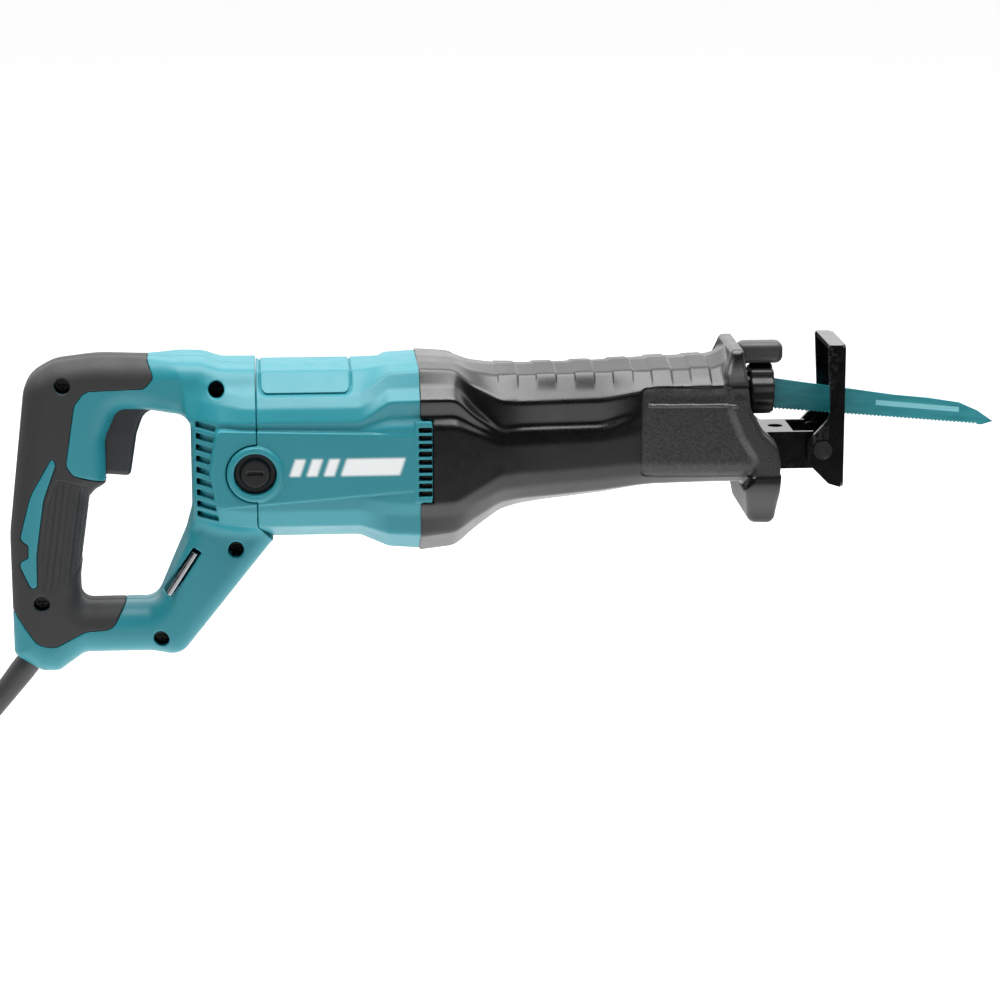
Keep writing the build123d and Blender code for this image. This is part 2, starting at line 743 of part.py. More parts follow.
# ---- Brush gear ----
brush_cap_head = tube_y(-BARREL_WIDTH / 2 - 0.4, -BRUSH_CAP_Y - 0.1, BRUSH_CAP_R, 0, BRUSH_X, MOTOR_Z)
with BuildPart() as brush_cap:
    add(brush_cap_head.part)
    with BuildSketch(Plane.XZ.offset(BRUSH_CAP_Y - 6.0)):
        with Locations((BRUSH_X, MOTOR_Z)):
            Circle(BRUSH_HOLDER_R - 0.3)
    extrude(amount=6.1)
    with BuildSketch(Plane.XZ.offset(BARREL_WIDTH / 2 + 0.4)):
        with Locations((BRUSH_X, MOTOR_Z)):
            Circle(8.4)
            Rectangle(30.0, 3.0, mode=Mode.INTERSECT)
    extrude(amount=-1.8, mode=Mode.SUBTRACT)
brush_caps = both_sides(brush_cap)
brush_caps.part.label = "brush_caps"
export_step(brush_caps.part, "parts/brush_caps.step")

with BuildPart() as brush_holder:
    with BuildSketch(Plane.XZ.offset(COMMUTATOR_R + 1.5)):
        with Locations((BRUSH_X, MOTOR_Z)):
            Circle(BRUSH_HOLDER_R)
            Rectangle(BRUSH_WIDTH + 0.2, BRUSH_HEIGHT + 0.2, mode=Mode.SUBTRACT)
    extrude(amount=BRUSH_CAP_Y - 6.2 - COMMUTATOR_R - 1.5)
brush_holders = both_sides(brush_holder)
brush_holders.part.label = "brush_holders"
export_step(brush_holders.part, "parts/brush_holders.step")

with BuildPart() as carbon_brush:
    with BuildSketch(Plane.XZ.offset(COMMUTATOR_R + 0.1)):
        with Locations((BRUSH_X, MOTOR_Z)):
            Rectangle(BRUSH_WIDTH, BRUSH_HEIGHT)
    extrude(amount=BRUSH_LENGTH)
carbon_brushes = both_sides(carbon_brush)
carbon_brushes.part.label = "carbon_brushes"
export_step(carbon_brushes.part, "parts/carbon_brushes.step")

with BuildPart() as brush_spring:
    with BuildLine() as spring_wire:
        Helix(
            pitch=1.5,
            height=BRUSH_SPRING_LENGTH,
            radius=2.2,
            center=(BRUSH_X, -BRUSH_SPRING_START, MOTOR_Z),
            direction=(0, -1, 0),
        )
    with BuildSketch(Plane(origin=spring_wire.line @ 0, z_dir=spring_wire.line % 0)):
        Circle(0.35)
    sweep(path=spring_wire.line, is_frenet=True)
brush_springs = both_sides(brush_spring)
brush_springs.part.label = "brush_springs"
export_step(brush_springs.part, "parts/brush_springs.step")

# ---- Stator ----
def sector(x, outer, inner, half_angle):
    """Ring sectors above and below the motor axis, on the plane at x."""
    reach = 60.0
    spread = reach * math.tan(math.radians(half_angle))
    with BuildSketch(Plane.YZ.offset(x)) as shape:
        with Locations((0, MOTOR_Z)):
            Circle(outer)
            Circle(inner, mode=Mode.SUBTRACT)
        with BuildLine():
            Polyline((0, MOTOR_Z), (spread, MOTOR_Z + reach), (-spread, MOTOR_Z + reach), close=True)
        make_face(mode=Mode.INTERSECT)
    return shape


pole_face = sector(CORE_START, STATOR_R - 5.0, STATOR_BORE_R, 48.0)
with BuildPart() as pole:
    extrude(pole_face.sketch, amount=CORE_END - CORE_START)
with BuildPart() as stator_core:
    with BuildSketch(Plane.YZ.offset(CORE_START)):
        with Locations((0, MOTOR_Z)):
            Circle(STATOR_R)
            Circle(STATOR_R - 7.0, mode=Mode.SUBTRACT)
    extrude(amount=CORE_END - CORE_START)
    add(pole.part)
    mirror(pole.part, about=Plane.XY.offset(MOTOR_Z))
stator_core.part.label = "stator_core"
export_step(stator_core.part, "parts/stator_core.step")

coil_face = sector(CORE_START - 6.0, COIL_OUTER_R, COIL_INNER_R, 76.0)
coil_window = sector(CORE_START - 1.0, STATOR_R, STATOR_BORE_R - 2.0, 51.0)
with BuildPart() as coil:
    extrude(coil_face.sketch, amount=CORE_END - CORE_START + 12.0)
    extrude(coil_window.sketch, amount=CORE_END - CORE_START + 2.0, mode=Mode.SUBTRACT)
with BuildPart() as stator_coils:
    add(coil.part)
    mirror(coil.part, about=Plane.XY.offset(MOTOR_Z))
stator_coils.part.label = "stator_coils"
export_step(stator_coils.part, "parts/stator_coils.step")

baffle_ring = tube_x(CORE_END + 6.5, CORE_END + 9.0, STATOR_R, COIL_INNER_R, MOTOR_Z)
baffle_ring.part.label = "baffle_ring"
export_step(baffle_ring.part, "parts/baffle_ring.step")

# ---- Armature ----
with BuildPart() as armature_shaft:
    with BuildSketch(Plane.YZ.offset(REAR_BEARING_X + 0.5)):
        with Locations((0, MOTOR_Z)):
            Circle(REAR_BEARING[0])
    extrude(amount=REAR_BEARING[2] + 0.5)
    with BuildSketch(Plane.YZ.offset(REAR_BEARING_X + 1.0 + REAR_BEARING[2])):
        with Locations((0, MOTOR_Z)):
            Circle(SHAFT_R)
    extrude(amount=-TOOTH_OUTER_R - 1.5 - REAR_BEARING_X - REAR_BEARING[2])
    with BuildSketch(Plane.YZ.offset(-TOOTH_OUTER_R - 0.5)):
        with Locations((0, MOTOR_Z)):
            Circle(PINION_BORE_R)
    extrude(amount=TOOTH_OUTER_R - TOOTH_INNER_R + 0.5)
armature_shaft.part.label = "armature_shaft"
export_step(armature_shaft.part, "parts/armature_shaft.step")

with BuildPart() as armature_core:
    with BuildSketch(Plane.YZ.offset(CORE_START)):
        with Locations((0, MOTOR_Z)):
            Circle(CORE_R)
            Circle(SHAFT_R, mode=Mode.SUBTRACT)
            with PolarLocations(CORE_R - 1.0, CORE_SLOTS):
                Rectangle(2.4, 1.8, mode=Mode.SUBTRACT)
            with PolarLocations(CORE_R - 5.0, CORE_SLOTS):
                SlotOverall(8.0, 3.6, mode=Mode.SUBTRACT)
    extrude(amount=CORE_END - CORE_START)
armature_core.part.label = "armature_core"
export_step(armature_core.part, "parts/armature_core.step")

with BuildPart() as armature_windings:
    with BuildSketch(Plane.YZ.offset(CORE_START - 5.0)):
        with Locations((0, MOTOR_Z)):
            with PolarLocations(CORE_R - 5.0, CORE_SLOTS):
                SlotOverall(7.6, 3.2)
    extrude(amount=CORE_END - CORE_START + 10.0)
    for start in (CORE_START - 6.5, CORE_END + 0.5):
        with BuildSketch(Plane.YZ.offset(start)):
            with Locations((0, MOTOR_Z)):
                Circle(CORE_R - 1.0)
                Circle(SHAFT_R + 1.0, mode=Mode.SUBTRACT)
        extrude(amount=6.0)
armature_windings.part.label = "armature_windings"
export_step(armature_windings.part, "parts/armature_windings.step")

with BuildPart() as commutator:
    with BuildSketch(Plane.YZ.offset(BRUSH_X - 9.0)):
        with Locations((0, MOTOR_Z)):
            Circle(COMMUTATOR_R)
            Circle(SHAFT_R, mode=Mode.SUBTRACT)
            with PolarLocations(COMMUTATOR_R, COMMUTATOR_BARS):
                Rectangle(1.6, 0.6, mode=Mode.SUBTRACT)
    extrude(amount=19.5)
commutator.part.label = "commutator"
export_step(commutator.part, "parts/commutator.step")

with BuildPart() as cooling_fan:
    with BuildSketch(Plane.YZ.offset(FAN_START)):
        with Locations((0, MOTOR_Z)):
            Circle(FAN_R)
            Circle(SHAFT_R, mode=Mode.SUBTRACT)
    extrude(amount=1.6)
    with BuildSketch(Plane.YZ.offset(FAN_START)):
        with Locations((0, MOTOR_Z)):
            Circle(SHAFT_R + 4.0)
            Circle(SHAFT_R, mode=Mode.SUBTRACT)
            with PolarLocations(FAN_R - 10.5, FAN_BLADES):
                Rectangle(20.0, 1.4, rotation=24.0)
            Circle(FAN_R + 3.0, mode=Mode.INTERSECT)
    extrude(amount=8.0)
cooling_fan.part.label = "cooling_fan"
export_step(cooling_fan.part, "parts/cooling_fan.step")

# ---- Ball bearings ----
def bearing_ring(size, inner, outer):
    """Half section of one ring with its ball groove, drawn from the bearing's end face."""
    bore, rim, width = size
    pitch = (bore + rim) / 2
    with BuildSketch(Plane.XZ) as section:
        with Locations(((inner + outer) / 2, width / 2)):
            Rectangle(outer - inner, width)
        with Locations((pitch, width / 2)):
            Circle(ball_radius(size) + RUNNING, mode=Mode.SUBTRACT)
    return section


def ball_radius(size):
    """Ball radius that fills just over half of the gap between bore and rim."""
    bore, rim, width = size
    return min((rim - bore) * 0.28, width * 0.4)


def bearing_pieces(size):
    """Outer ring, inner ring and balls of a bearing standing on the XY plane, axis Z."""
    bore, rim, width = size
    ring = (rim - bore) * BEARING_RING
    outer_section = bearing_ring(size, rim - ring, rim)
    inner_section = bearing_ring(size, bore, bore + ring)
    with BuildPart() as outer_ring:
        revolve(outer_section.sketch, axis=Axis.Z)
    with BuildPart() as inner_ring:
        revolve(inner_section.sketch, axis=Axis.Z)
    with BuildPart() as balls:
        with Locations((0, 0, width / 2)):
            with PolarLocations((bore + rim) / 2, BALL_COUNT):
                Sphere(ball_radius(size))
    return outer_ring, inner_ring, balls


motor_axis = Plane(origin=(0, 0, MOTOR_Z), x_dir=(0, 1, 0), z_dir=(1, 0, 0))
rear_place = motor_axis.offset(REAR_BEARING_X).location
front_place = motor_axis.offset(FRONT_BEARING_X).location
crank_place = Plane.XY.offset(CRANK_BEARING_Z).location
foot_place = Plane.XY.offset(FOOT_BEARING_Z).location
placed_bearings = []
for size, place in [
    (REAR_BEARING, rear_place),
    (FRONT_BEARING, front_place),
    (CRANK_BEARING, crank_place),
    (FOOT_BEARING, foot_place),
]:
    pieces = bearing_pieces(size)
    placed_bearings.append([piece.part.moved(place) for piece in pieces])

with BuildPart() as bearing_outer_rings:
    for outer_ring, inner_ring, balls in placed_bearings:
        add(outer_ring)
bearing_outer_rings.part.label = "bearing_outer_rings"
export_step(bearing_outer_rings.part, "parts/bearing_outer_rings.step")

with BuildPart() as bearing_balls:
    for outer_ring, inner_ring, balls in placed_bearings:
        add(balls)
bearing_balls.part.label = "bearing_balls"
export_step(bearing_balls.part, "parts/bearing_balls.step")

with BuildPart() as armature_bearing_inner_rings:
    for outer_ring, inner_ring, balls in placed_bearings[:2]:
        add(inner_ring)
armature_bearing_inner_rings.part.label = "armature_bearing_inner_rings"
export_step(armature_bearing_inner_rings.part, "parts/armature_bearing_inner_rings.step")

with BuildPart() as crank_bearing_inner_rings:
    for outer_ring, inner_ring, balls in placed_bearings[2:]:
        add(inner_ring)
crank_bearing_inner_rings.part.label = "crank_bearing_inner_rings"
export_step(crank_bearing_inner_rings.part, "parts/crank_bearing_inner_rings.step")

# ---- Bevel gears ----
# Both gears' pitch cones meet where the armature's axis crosses the crank's axis.


def tooth_quad(radius, pitch_height, tip, root, direction):
    """Tooth section on the plane at x = -radius; direction +1 points up, -1 points down."""
    scale = radius / TOOTH_MID_R
    tip_half = (TOOTH_HALF - tip * FLANK_SLOPE) * scale
    root_half = (TOOTH_HALF + root * FLANK_SLOPE) * scale
    tip_z = pitch_height + direction * tip * scale
    root_z = pitch_height - direction * root * scale
    with BuildSketch(Plane.YZ.offset(-radius)) as quad:
        with BuildLine():
            Polyline(
                (tip_half, tip_z),
                (root_half, root_z),
                (-root_half, root_z),
                (-tip_half, tip_z),
                close=True,
            )
        make_face()
    return quad


def bevel_tooth(tip, root, direction):
    """One straight bevel tooth, lofted from the small end to the large end."""
    inner = tooth_quad(TOOTH_INNER_R, MOTOR_Z + TOOTH_INNER_R * PINION_RATIO, tip, root, direction)
    outer = tooth_quad(TOOTH_OUTER_R, MOTOR_Z + TOOTH_OUTER_R * PINION_RATIO, tip, root, direction)
    with BuildPart() as tooth:
        loft([inner.sketch, outer.sketch], ruled=True)
    return tooth


def cone_z(radius, offset_mid):
    """Height over the motor axis of a line through the cone apex, passing offset_mid off the pitch line."""
    return MOTOR_Z + radius * (PINION_RATIO + offset_mid / TOOTH_MID_R)


gear_tooth = bevel_tooth(GEAR_ADDENDUM, DEDENDUM + 0.5, -1)
with BuildPart() as crank_gear:
    with BuildSketch(Plane.XZ):
        with BuildLine():
            Polyline(
                (CRANK_SHAFT_R, GEAR_TOP_Z),
                (TOOTH_OUTER_R + 0.6, GEAR_TOP_Z),
                (TOOTH_OUTER_R + 0.6, cone_z(TOOTH_OUTER_R, DEDENDUM)),
                (TOOTH_INNER_R - 0.6, cone_z(TOOTH_INNER_R, DEDENDUM)),
                (TOOTH_INNER_R - 0.6, GEAR_TOP_Z - 5.0),
                (CRANK_SHAFT_R + 4.0, GEAR_TOP_Z - 5.0),
                (CRANK_SHAFT_R + 4.0, GEAR_TOP_Z - 9.0),
                (CRANK_SHAFT_R, GEAR_TOP_Z - 9.0),
                close=True,
            )
        make_face()
    revolve(axis=Axis.Z)
    with PolarLocations(0, CRANK_TEETH):
        add(gear_tooth.part)
    with BuildSketch(Plane.XY.offset(GEAR_TOP_Z)):
        with Locations((0, CRANK_R)):
            Circle(CRANK_PIN_R)
    extrude(amount=-12.0, mode=Mode.SUBTRACT)
crank_gear.part.label = "crank_gear"
export_step(crank_gear.part, "parts/crank_gear.step")

# The crank gear has a tooth over the pinion at rest, so the pinion has a gap there.
pinion_tooth = bevel_tooth(PINION_ADDENDUM, DEDENDUM, 1)
pinion_tooth_centred = pinion_tooth.part.moved(Location((0, 0, -MOTOR_Z)))
with BuildPart() as pinion_blank:
    with BuildSketch(Plane.XZ):
        with BuildLine():
            Polyline(
                (-TOOTH_OUTER_R, PINION_BORE_R),
                (-TOOTH_OUTER_R, cone_z(TOOTH_OUTER_R, 0.3 - DEDENDUM) - MOTOR_Z),
                (-TOOTH_INNER_R, cone_z(TOOTH_INNER_R, 0.3 - DEDENDUM) - MOTOR_Z),
                (-TOOTH_INNER_R, PINION_BORE_R),
                close=True,
            )
        make_face()
    revolve(axis=Axis.X)
with BuildPart() as pinion_centred:
    add(pinion_blank.part)
    for index in range(PINION_TEETH):
        turn = Rotation((index + 0.5) * 360.0 / PINION_TEETH, 0, 0)
        add(turn * pinion_tooth_centred)
    with BuildSketch(Plane.YZ.offset(-TOOTH_OUTER_R)):
        Circle(PINION_BORE_R)
    extrude(amount=TOOTH_OUTER_R, mode=Mode.SUBTRACT)
with BuildPart() as bevel_pinion:
    add(pinion_centred.part.moved(Location((0, 0, MOTOR_Z))))
bevel_pinion.part.label = "bevel_pinion"
export_step(bevel_pinion.part, "parts/bevel_pinion.step")

# ---- Crank ----
with BuildPart() as crank_shaft:
    with BuildSketch(Plane.XY.offset(FOOT_BEARING_Z)):
        Circle(FOOT_BEARING[0])
    extrude(amount=FOOT_BEARING[2] + 2.5)
    with BuildSketch(Plane.XY.offset(CRANK_BEARING_Z - 2.5)):
        Circle(CRANK_SHAFT_R)
    extrude(amount=GEAR_TOP_Z - CRANK_BEARING_Z + 2.5)
crank_shaft.part.label = "crank_shaft"
export_step(crank_shaft.part, "parts/crank_shaft.step")

with BuildPart() as crank_pin:
    with BuildSketch(Plane.XY.offset(GEAR_TOP_Z - 8.0)):
        with Locations((0, CRANK_R)):
            Circle(CRANK_PIN_R)
    extrude(amount=ROLLER_TOP_Z - GEAR_TOP_Z + 8.0)
crank_pin.part.label = "crank_pin"
export_step(crank_pin.part, "parts/crank_pin.step")

with BuildPart() as crank_roller:
    with BuildSketch(Plane.XY.offset(GEAR_TOP_Z + 0.1)):
        with Locations((0, CRANK_R)):
            Circle(ROLLER_R)
            Circle(CRANK_PIN_R + 0.03, mode=Mode.SUBTRACT)
    extrude(amount=ROLLER_TOP_Z - GEAR_TOP_Z - 0.1)
crank_roller.part.label = "crank_roller"
export_step(crank_roller.part, "parts/crank_roller.step")

with BuildPart() as balance_weight:
    with BuildSketch(Plane.XY.offset(GEAR_TOP_Z)):
        Circle(TOOTH_OUTER_R)
        Circle(CRANK_SHAFT_R + 3.0, mode=Mode.SUBTRACT)
        with Locations((0, -TOOTH_OUTER_R / 2 - 4.0)):
            Rectangle(2 * TOOTH_OUTER_R, TOOTH_OUTER_R, mode=Mode.INTERSECT)
    extrude(amount=ROLLER_TOP_Z - GEAR_TOP_Z)
balance_weight.part.label = "balance_weight"
export_step(balance_weight.part, "parts/balance_weight.step")

# ---- Crank housing ----
with BuildPart() as crank_housing:
    # Flange against the motor housing
    with BuildSketch(Plane.YZ.offset(MOTOR_FRONT_X)):
        with Locations((0, BARREL_Z)):
            RectangleRounded(BARREL_WIDTH - 8.0, BARREL_HEIGHT - 12.0, 28.0)
    extrude(amount=5.0)
    # Neck, gear case, foot bearing boss and nose
    with BuildSketch(Plane.YZ.offset(MOTOR_FRONT_X)):
        with Locations((0, (POT_TOP_Z + POT_FLOOR_Z) / 2)):
            RectangleRounded(2 * NECK_HALF, POT_TOP_Z - POT_FLOOR_Z, 5.0)
    extrude(amount=20.0)
    with BuildSketch(Plane.XY.offset(YOKE_BOTTOM_Z - 4.0 - CASE_WALL)):
        Rectangle(2 * (YOKE_SPACE_X + CASE_WALL), 2 * (YOKE_HALF_Y + CASE_WALL + 0.4))
    extrude(amount=POT_TOP_Z - YOKE_BOTTOM_Z + 4.0 + CASE_WALL)
    with BuildSketch(Plane.XY.offset(POT_FLOOR_Z)):
        Circle(POT_R)
    extrude(amount=POT_TOP_Z - POT_FLOOR_Z)
    with BuildSketch(Plane.XY.offset(FOOT_BEARING_Z - 1.0)):
        Circle(FOOT_BEARING[1] + 3.0)
    extrude(amount=POT_FLOOR_Z - FOOT_BEARING_Z + 1.0)
    with BuildSketch(Plane.YZ.offset(NOSE_START_X)):
        with Locations((0, (NOSE_TOP_Z + NOSE_BOTTOM_Z) / 2)):
            RectangleRounded(2 * NOSE_HALF, NOSE_TOP_Z - NOSE_BOTTOM_Z, 6.0)
    extrude(amount=NOSE_END_X - NOSE_START_X)
    # Nothing of the neck or nose stands over the cover's joint face
    with BuildSketch(Plane.XY.offset(POT_TOP_Z)):
        Rectangle(2 * (YOKE_SPACE_X + CASE_WALL), 120.0)
    extrude(amount=60.0, mode=Mode.SUBTRACT)
    # Gear space and the yoke's space, open at the top for the cover
    with BuildSketch(Plane.XY.offset(YOKE_BOTTOM_Z - 4.0)):
        Rectangle(2 * YOKE_SPACE_X, 2 * (YOKE_HALF_Y + 0.4))
    extrude(amount=60.0, mode=Mode.SUBTRACT)
    with BuildSketch(Plane.XY.offset(CRANK_BEARING_Z + 2.0)):
        Circle(POT_R - 3.0)
    extrude(amount=60.0, mode=Mode.SUBTRACT)
    with BuildSketch(Plane.XY.offset(CRANK_BEARING_Z)):
        Circle(CRANK_BEARING[1])
    extrude(amount=10.0, mode=Mode.SUBTRACT)
    with BuildSketch(Plane.XY.offset(FOOT_BEARING_Z + FOOT_BEARING[2])):
        Circle(CRANK_SHAFT_R + 1.0)
    extrude(amount=10.0, mode=Mode.SUBTRACT)
    with BuildSketch(Plane.XY.offset(FOOT_BEARING_Z)):
        Circle(FOOT_BEARING[1])
    extrude(amount=FOOT_BEARING[2], mode=Mode.SUBTRACT)
    # Seat wall round the crank bearing
    with BuildSketch(Plane.XY.offset(CRANK_BEARING_Z)):
        Circle(CRANK_BEARING[1] + 2.2)
        Circle(CRANK_BEARING[1], mode=Mode.SUBTRACT)
    extrude(amount=CRANK_BEARING[2])
    # Front bearing seat and the way through for the pinion
    with BuildSketch(Plane.YZ.offset(MOTOR_FRONT_X)):
        with Locations((0, MOTOR_Z)):
            Circle(FRONT_BEARING[1])
    extrude(amount=FRONT_BEARING[2], mode=Mode.SUBTRACT)
    with BuildSketch(Plane.YZ.offset(MOTOR_FRONT_X)):
        with Locations((0, MOTOR_Z)):
            Circle(FRONT_BEARING[1] - 3.0)
    extrude(amount=20.0, mode=Mode.SUBTRACT)
    # Hollow of the nose, between the gear case and the front bush
    with BuildSketch(Plane.YZ.offset(POT_R + 1.0)):
        with Locations((0, (NOSE_TOP_Z - 2.5 + SLIDE_TOP_Z + 3.0) / 2)):
            RectangleRounded(2 * (NOSE_HALF - 2.5), NOSE_TOP_Z - SLIDE_TOP_Z - 5.5, 4.0)
    extrude(amount=BUSH_START - 4.0 - POT_R - 1.0, mode=Mode.SUBTRACT)
    # Plunger way, front bush seat and the blade clamp's space
    with BuildSketch(Plane.YZ.offset(MOTOR_FRONT_X + 2.0)):
        Circle(PLUNGER_R + 1.0)
    extrude(amount=2 * NOSE_END_X, mode=Mode.SUBTRACT)
    with BuildSketch(Plane.YZ.offset(BUSH_START)):
        Circle(BUSH_R)
    extrude(amount=60.0, mode=Mode.SUBTRACT)
    with BuildSketch(Plane.YZ.offset(SEAL_END)):
        Circle(LEVER_RING_INNER_R)
    extrude(amount=60.0, mode=Mode.SUBTRACT)
    # Guideway of the shoe's slide plate
    with BuildSketch(Plane.YZ.offset(SLIDE_START - 8.0)):
        with Locations((0, (SLIDE_TOP_Z + 0.1 + NOSE_BOTTOM_Z - 5.0) / 2)):
            Rectangle(2 * SLIDE_HALF + 0.2, SLIDE_TOP_Z + 0.1 - NOSE_BOTTOM_Z + 5.0)
    extrude(amount=NOSE_END_X, mode=Mode.SUBTRACT)
    # Collar round the clamp lever's ring
    with BuildSketch(Plane.YZ.offset(LEVER_RING_START - 0.2)):
        Circle(COLLAR_OUTER_R)
        Circle(LEVER_RING_R + RUNNING, mode=Mode.SUBTRACT)
    extrude(amount=LEVER_RING_END - LEVER_RING_START - 1.0)
    with BuildSketch(Plane.YZ.offset(NOSE_END_X - 1.0)):
        Circle(COLLAR_OUTER_R)
        Circle(LEVER_RING_INNER_R, mode=Mode.SUBTRACT)
    extrude(amount=LEVER_RING_START - 0.2 - NOSE_END_X + 1.0)
    # Screw holes in the flange and in the case's rim
    with BuildSketch(Plane.YZ.offset(MOTOR_FRONT_X)):
        for y, z in MOTOR_SCREWS:
            with Locations((y, z), (-y, z)):
                Circle(SCREW_R + 0.2)
    extrude(amount=5.0, mode=Mode.SUBTRACT)
    with BuildSketch(Plane.XY.offset(POT_TOP_Z)):
        with GridLocations(2 * COVER_SCREWS_X, 2 * COVER_SCREWS_Y, 2, 2):
            Circle(COVER_LUG_R)
            Circle(COVER_SCREW_SHANK_R + RUNNING, mode=Mode.SUBTRACT)
    extrude(amount=-12.0)
    with BuildSketch(Plane.XY.offset(POT_TOP_Z)):
        with GridLocations(2 * COVER_SCREWS_X, 2 * COVER_SCREWS_Y, 2, 2):
            Circle(COVER_SCREW_SHANK_R + RUNNING)
    extrude(amount=-11.0, mode=Mode.SUBTRACT)
    # Hole for the shoe button's stem
    with BuildSketch(Plane.XZ):
        with Locations(SHOE_BUTTON):
            Circle(BUTTON_STEM_R + RUNNING)
    extrude(amount=-40.0, mode=Mode.SUBTRACT)
crank_housing.part.label = "crank_housing"
export_step(crank_housing.part, "parts/crank_housing.step")

with BuildPart() as crank_housing_cover:
    with BuildSketch(Plane.XY.offset(POT_TOP_Z)):
        Circle(POT_R)
        Rectangle(2 * (YOKE_SPACE_X + CASE_WALL), 2 * (YOKE_HALF_Y + CASE_WALL + 0.4))
        with GridLocations(2 * COVER_SCREWS_X, 2 * COVER_SCREWS_Y, 2, 2):
            Circle(COVER_LUG_R)
            Circle(COVER_SCREW_SHANK_R + 0.2, mode=Mode.SUBTRACT)
        Rectangle(2 * (YOKE_SPACE_X + CASE_WALL) - 0.4, 90.0, mode=Mode.INTERSECT)
    extrude(amount=COVER_PLATE)
    # Tunnel over the plunger
    with BuildSketch(Plane.XY.offset(POT_TOP_Z)):
        Rectangle(2 * (YOKE_SPACE_X + CASE_WALL) - 0.4, 2 * TUNNEL_HALF)
    extrude(amount=TUNNEL_TOP_Z - POT_TOP_Z)
    fillet(crank_housing_cover.edges().filter_by(Axis.X).group_by(Axis.Z)[-1], 5.0)
    with BuildSketch(Plane.YZ.offset(-50.0)):
        Circle(PLUNGER_R + 1.0)
        with Locations((0, -10.0)):
            Rectangle(2 * (PLUNGER_R + 1.0), 20.0)
    extrude(amount=100.0, mode=Mode.SUBTRACT)
crank_housing_cover.part.label = "crank_housing_cover"
export_step(crank_housing_cover.part, "parts/crank_housing_cover.step")

with BuildPart() as cover_screws:
    with BuildSketch(Plane.XY.offset(POT_TOP_Z + COVER_PLATE)):
        with GridLocations(2 * COVER_SCREWS_X, 2 * COVER_SCREWS_Y, 2, 2):
            Circle(2.6)
    extrude(amount=1.2)
    with BuildSketch(Plane.XY.offset(POT_TOP_Z - 10.0)):
        with GridLocations(2 * COVER_SCREWS_X, 2 * COVER_SCREWS_Y, 2, 2):
            Circle(COVER_SCREW_SHANK_R)
    extrude(amount=COVER_PLATE + 10.0)
cover_screws.part.label = "cover_screws"
export_step(cover_screws.part, "parts/cover_screws.step")

with BuildPart() as motor_housing_screws:
    with BuildSketch(Plane.YZ.offset(MOTOR_FRONT_X + 5.0)):
        for y, z in MOTOR_SCREWS:
            with Locations((y, z), (-y, z)):
                Circle(SCREW_HEAD_R)
    extrude(amount=SCREW_HEAD_H)
    with BuildSketch(Plane.YZ.offset(MOTOR_FRONT_X - 20.0)):
        for y, z in MOTOR_SCREWS:
            with Locations((y, z), (-y, z)):
                Circle(SCREW_R)
    extrude(amount=25.0)
motor_housing_screws.part.label = "motor_housing_screws"
export_step(motor_housing_screws.part, "parts/motor_housing_screws.step")

# ---- Plunger ----
with BuildPart() as plunger:
    with BuildSketch(Plane.YZ.offset(PLUNGER_REAR_X)):
        Circle(PLUNGER_R)
    extrude(amount=PLUNGER_FRONT_X - PLUNGER_REAR_X)
    # Cross yoke over the crank roller
    with Locations((0, 0, (YOKE_BOTTOM_Z - 4.0) / 2)):
        Box(2 * YOKE_HALF_X, 2 * YOKE_HALF_Y, -4.0 - YOKE_BOTTOM_Z)
    with Locations((0, 0, YOKE_BOTTOM_Z + 2.5)):
        Box(2 * ROLLER_R + 0.4, 2 * (CRANK_R + ROLLER_R + 0.6), 5.0, mode=Mode.SUBTRACT)
    # Lightening bore
    with BuildSketch(Plane.YZ.offset(PLUNGER_REAR_X)):
        Circle(PLUNGER_BORE_R)
    extrude(amount=PLUNGER_BORE_LENGTH, mode=Mode.SUBTRACT)
    # Slot for the blade's shank
    slot_length = 2 * (PLUNGER_FRONT_X - SHANK_START + 0.4)
    with Locations((PLUNGER_FRONT_X, 0, 0)):
        Box(slot_length, 2 * BLADE_SLOT_HALF, 2 * SHANK_HALF + 0.3, mode=Mode.SUBTRACT)
plunger.part.label = "plunger"
export_step(plunger.part, "parts/plunger.step")

front_bush = tube_x(BUSH_START, BUSH_END, BUSH_R, PLUNGER_R + RUNNING)
front_bush.part.label = "front_bush"
export_step(front_bush.part, "parts/front_bush.step")

plunger_seal = tube_x(BUSH_END + 1.0, SEAL_END, BUSH_R, PLUNGER_R + 0.06)
plunger_seal.part.label = "plunger_seal"
export_step(plunger_seal.part, "parts/plunger_seal.step")

with BuildPart() as guide_rail:
    with Locations((0, -(YOKE_HALF_Y + RUNNING + 1.5), (YOKE_BOTTOM_Z - 4.0) / 2)):
        Box(30.0, 3.0, -4.0 - YOKE_BOTTOM_Z)
guide_rails = both_sides(guide_rail)
guide_rails.part.label = "guide_rails"
export_step(guide_rails.part, "parts/guide_rails.step")

# ---- Blade clamp and blade ----
with BuildPart() as clamp_body:
    with BuildSketch(Plane.YZ.offset(CLAMP_START)):
        Circle(CLAMP_R)
    extrude(amount=CLAMP_END - CLAMP_START)
    with BuildSketch(Plane.YZ.offset(CLAMP_START)):
        Circle(PLUNGER_R)
    extrude(amount=PLUNGER_FRONT_X - CLAMP_START, mode=Mode.SUBTRACT)
    with BuildSketch(Plane.YZ.offset(CLAMP_START)):
        Rectangle(2 * BLADE_SLOT_HALF, 2 * SHANK_HALF + 0.3)
    extrude(amount=CLAMP_END - CLAMP_START, mode=Mode.SUBTRACT)
    with BuildSketch(Plane.XZ):
        with Locations((LOCK_PIN_X, 0)):
            Circle(LOCK_PIN_R)
    extrude(amount=-CLAMP_R, mode=Mode.SUBTRACT)
clamp_body.part.label = "clamp_body"
export_step(clamp_body.part, "parts/clamp_body.step")

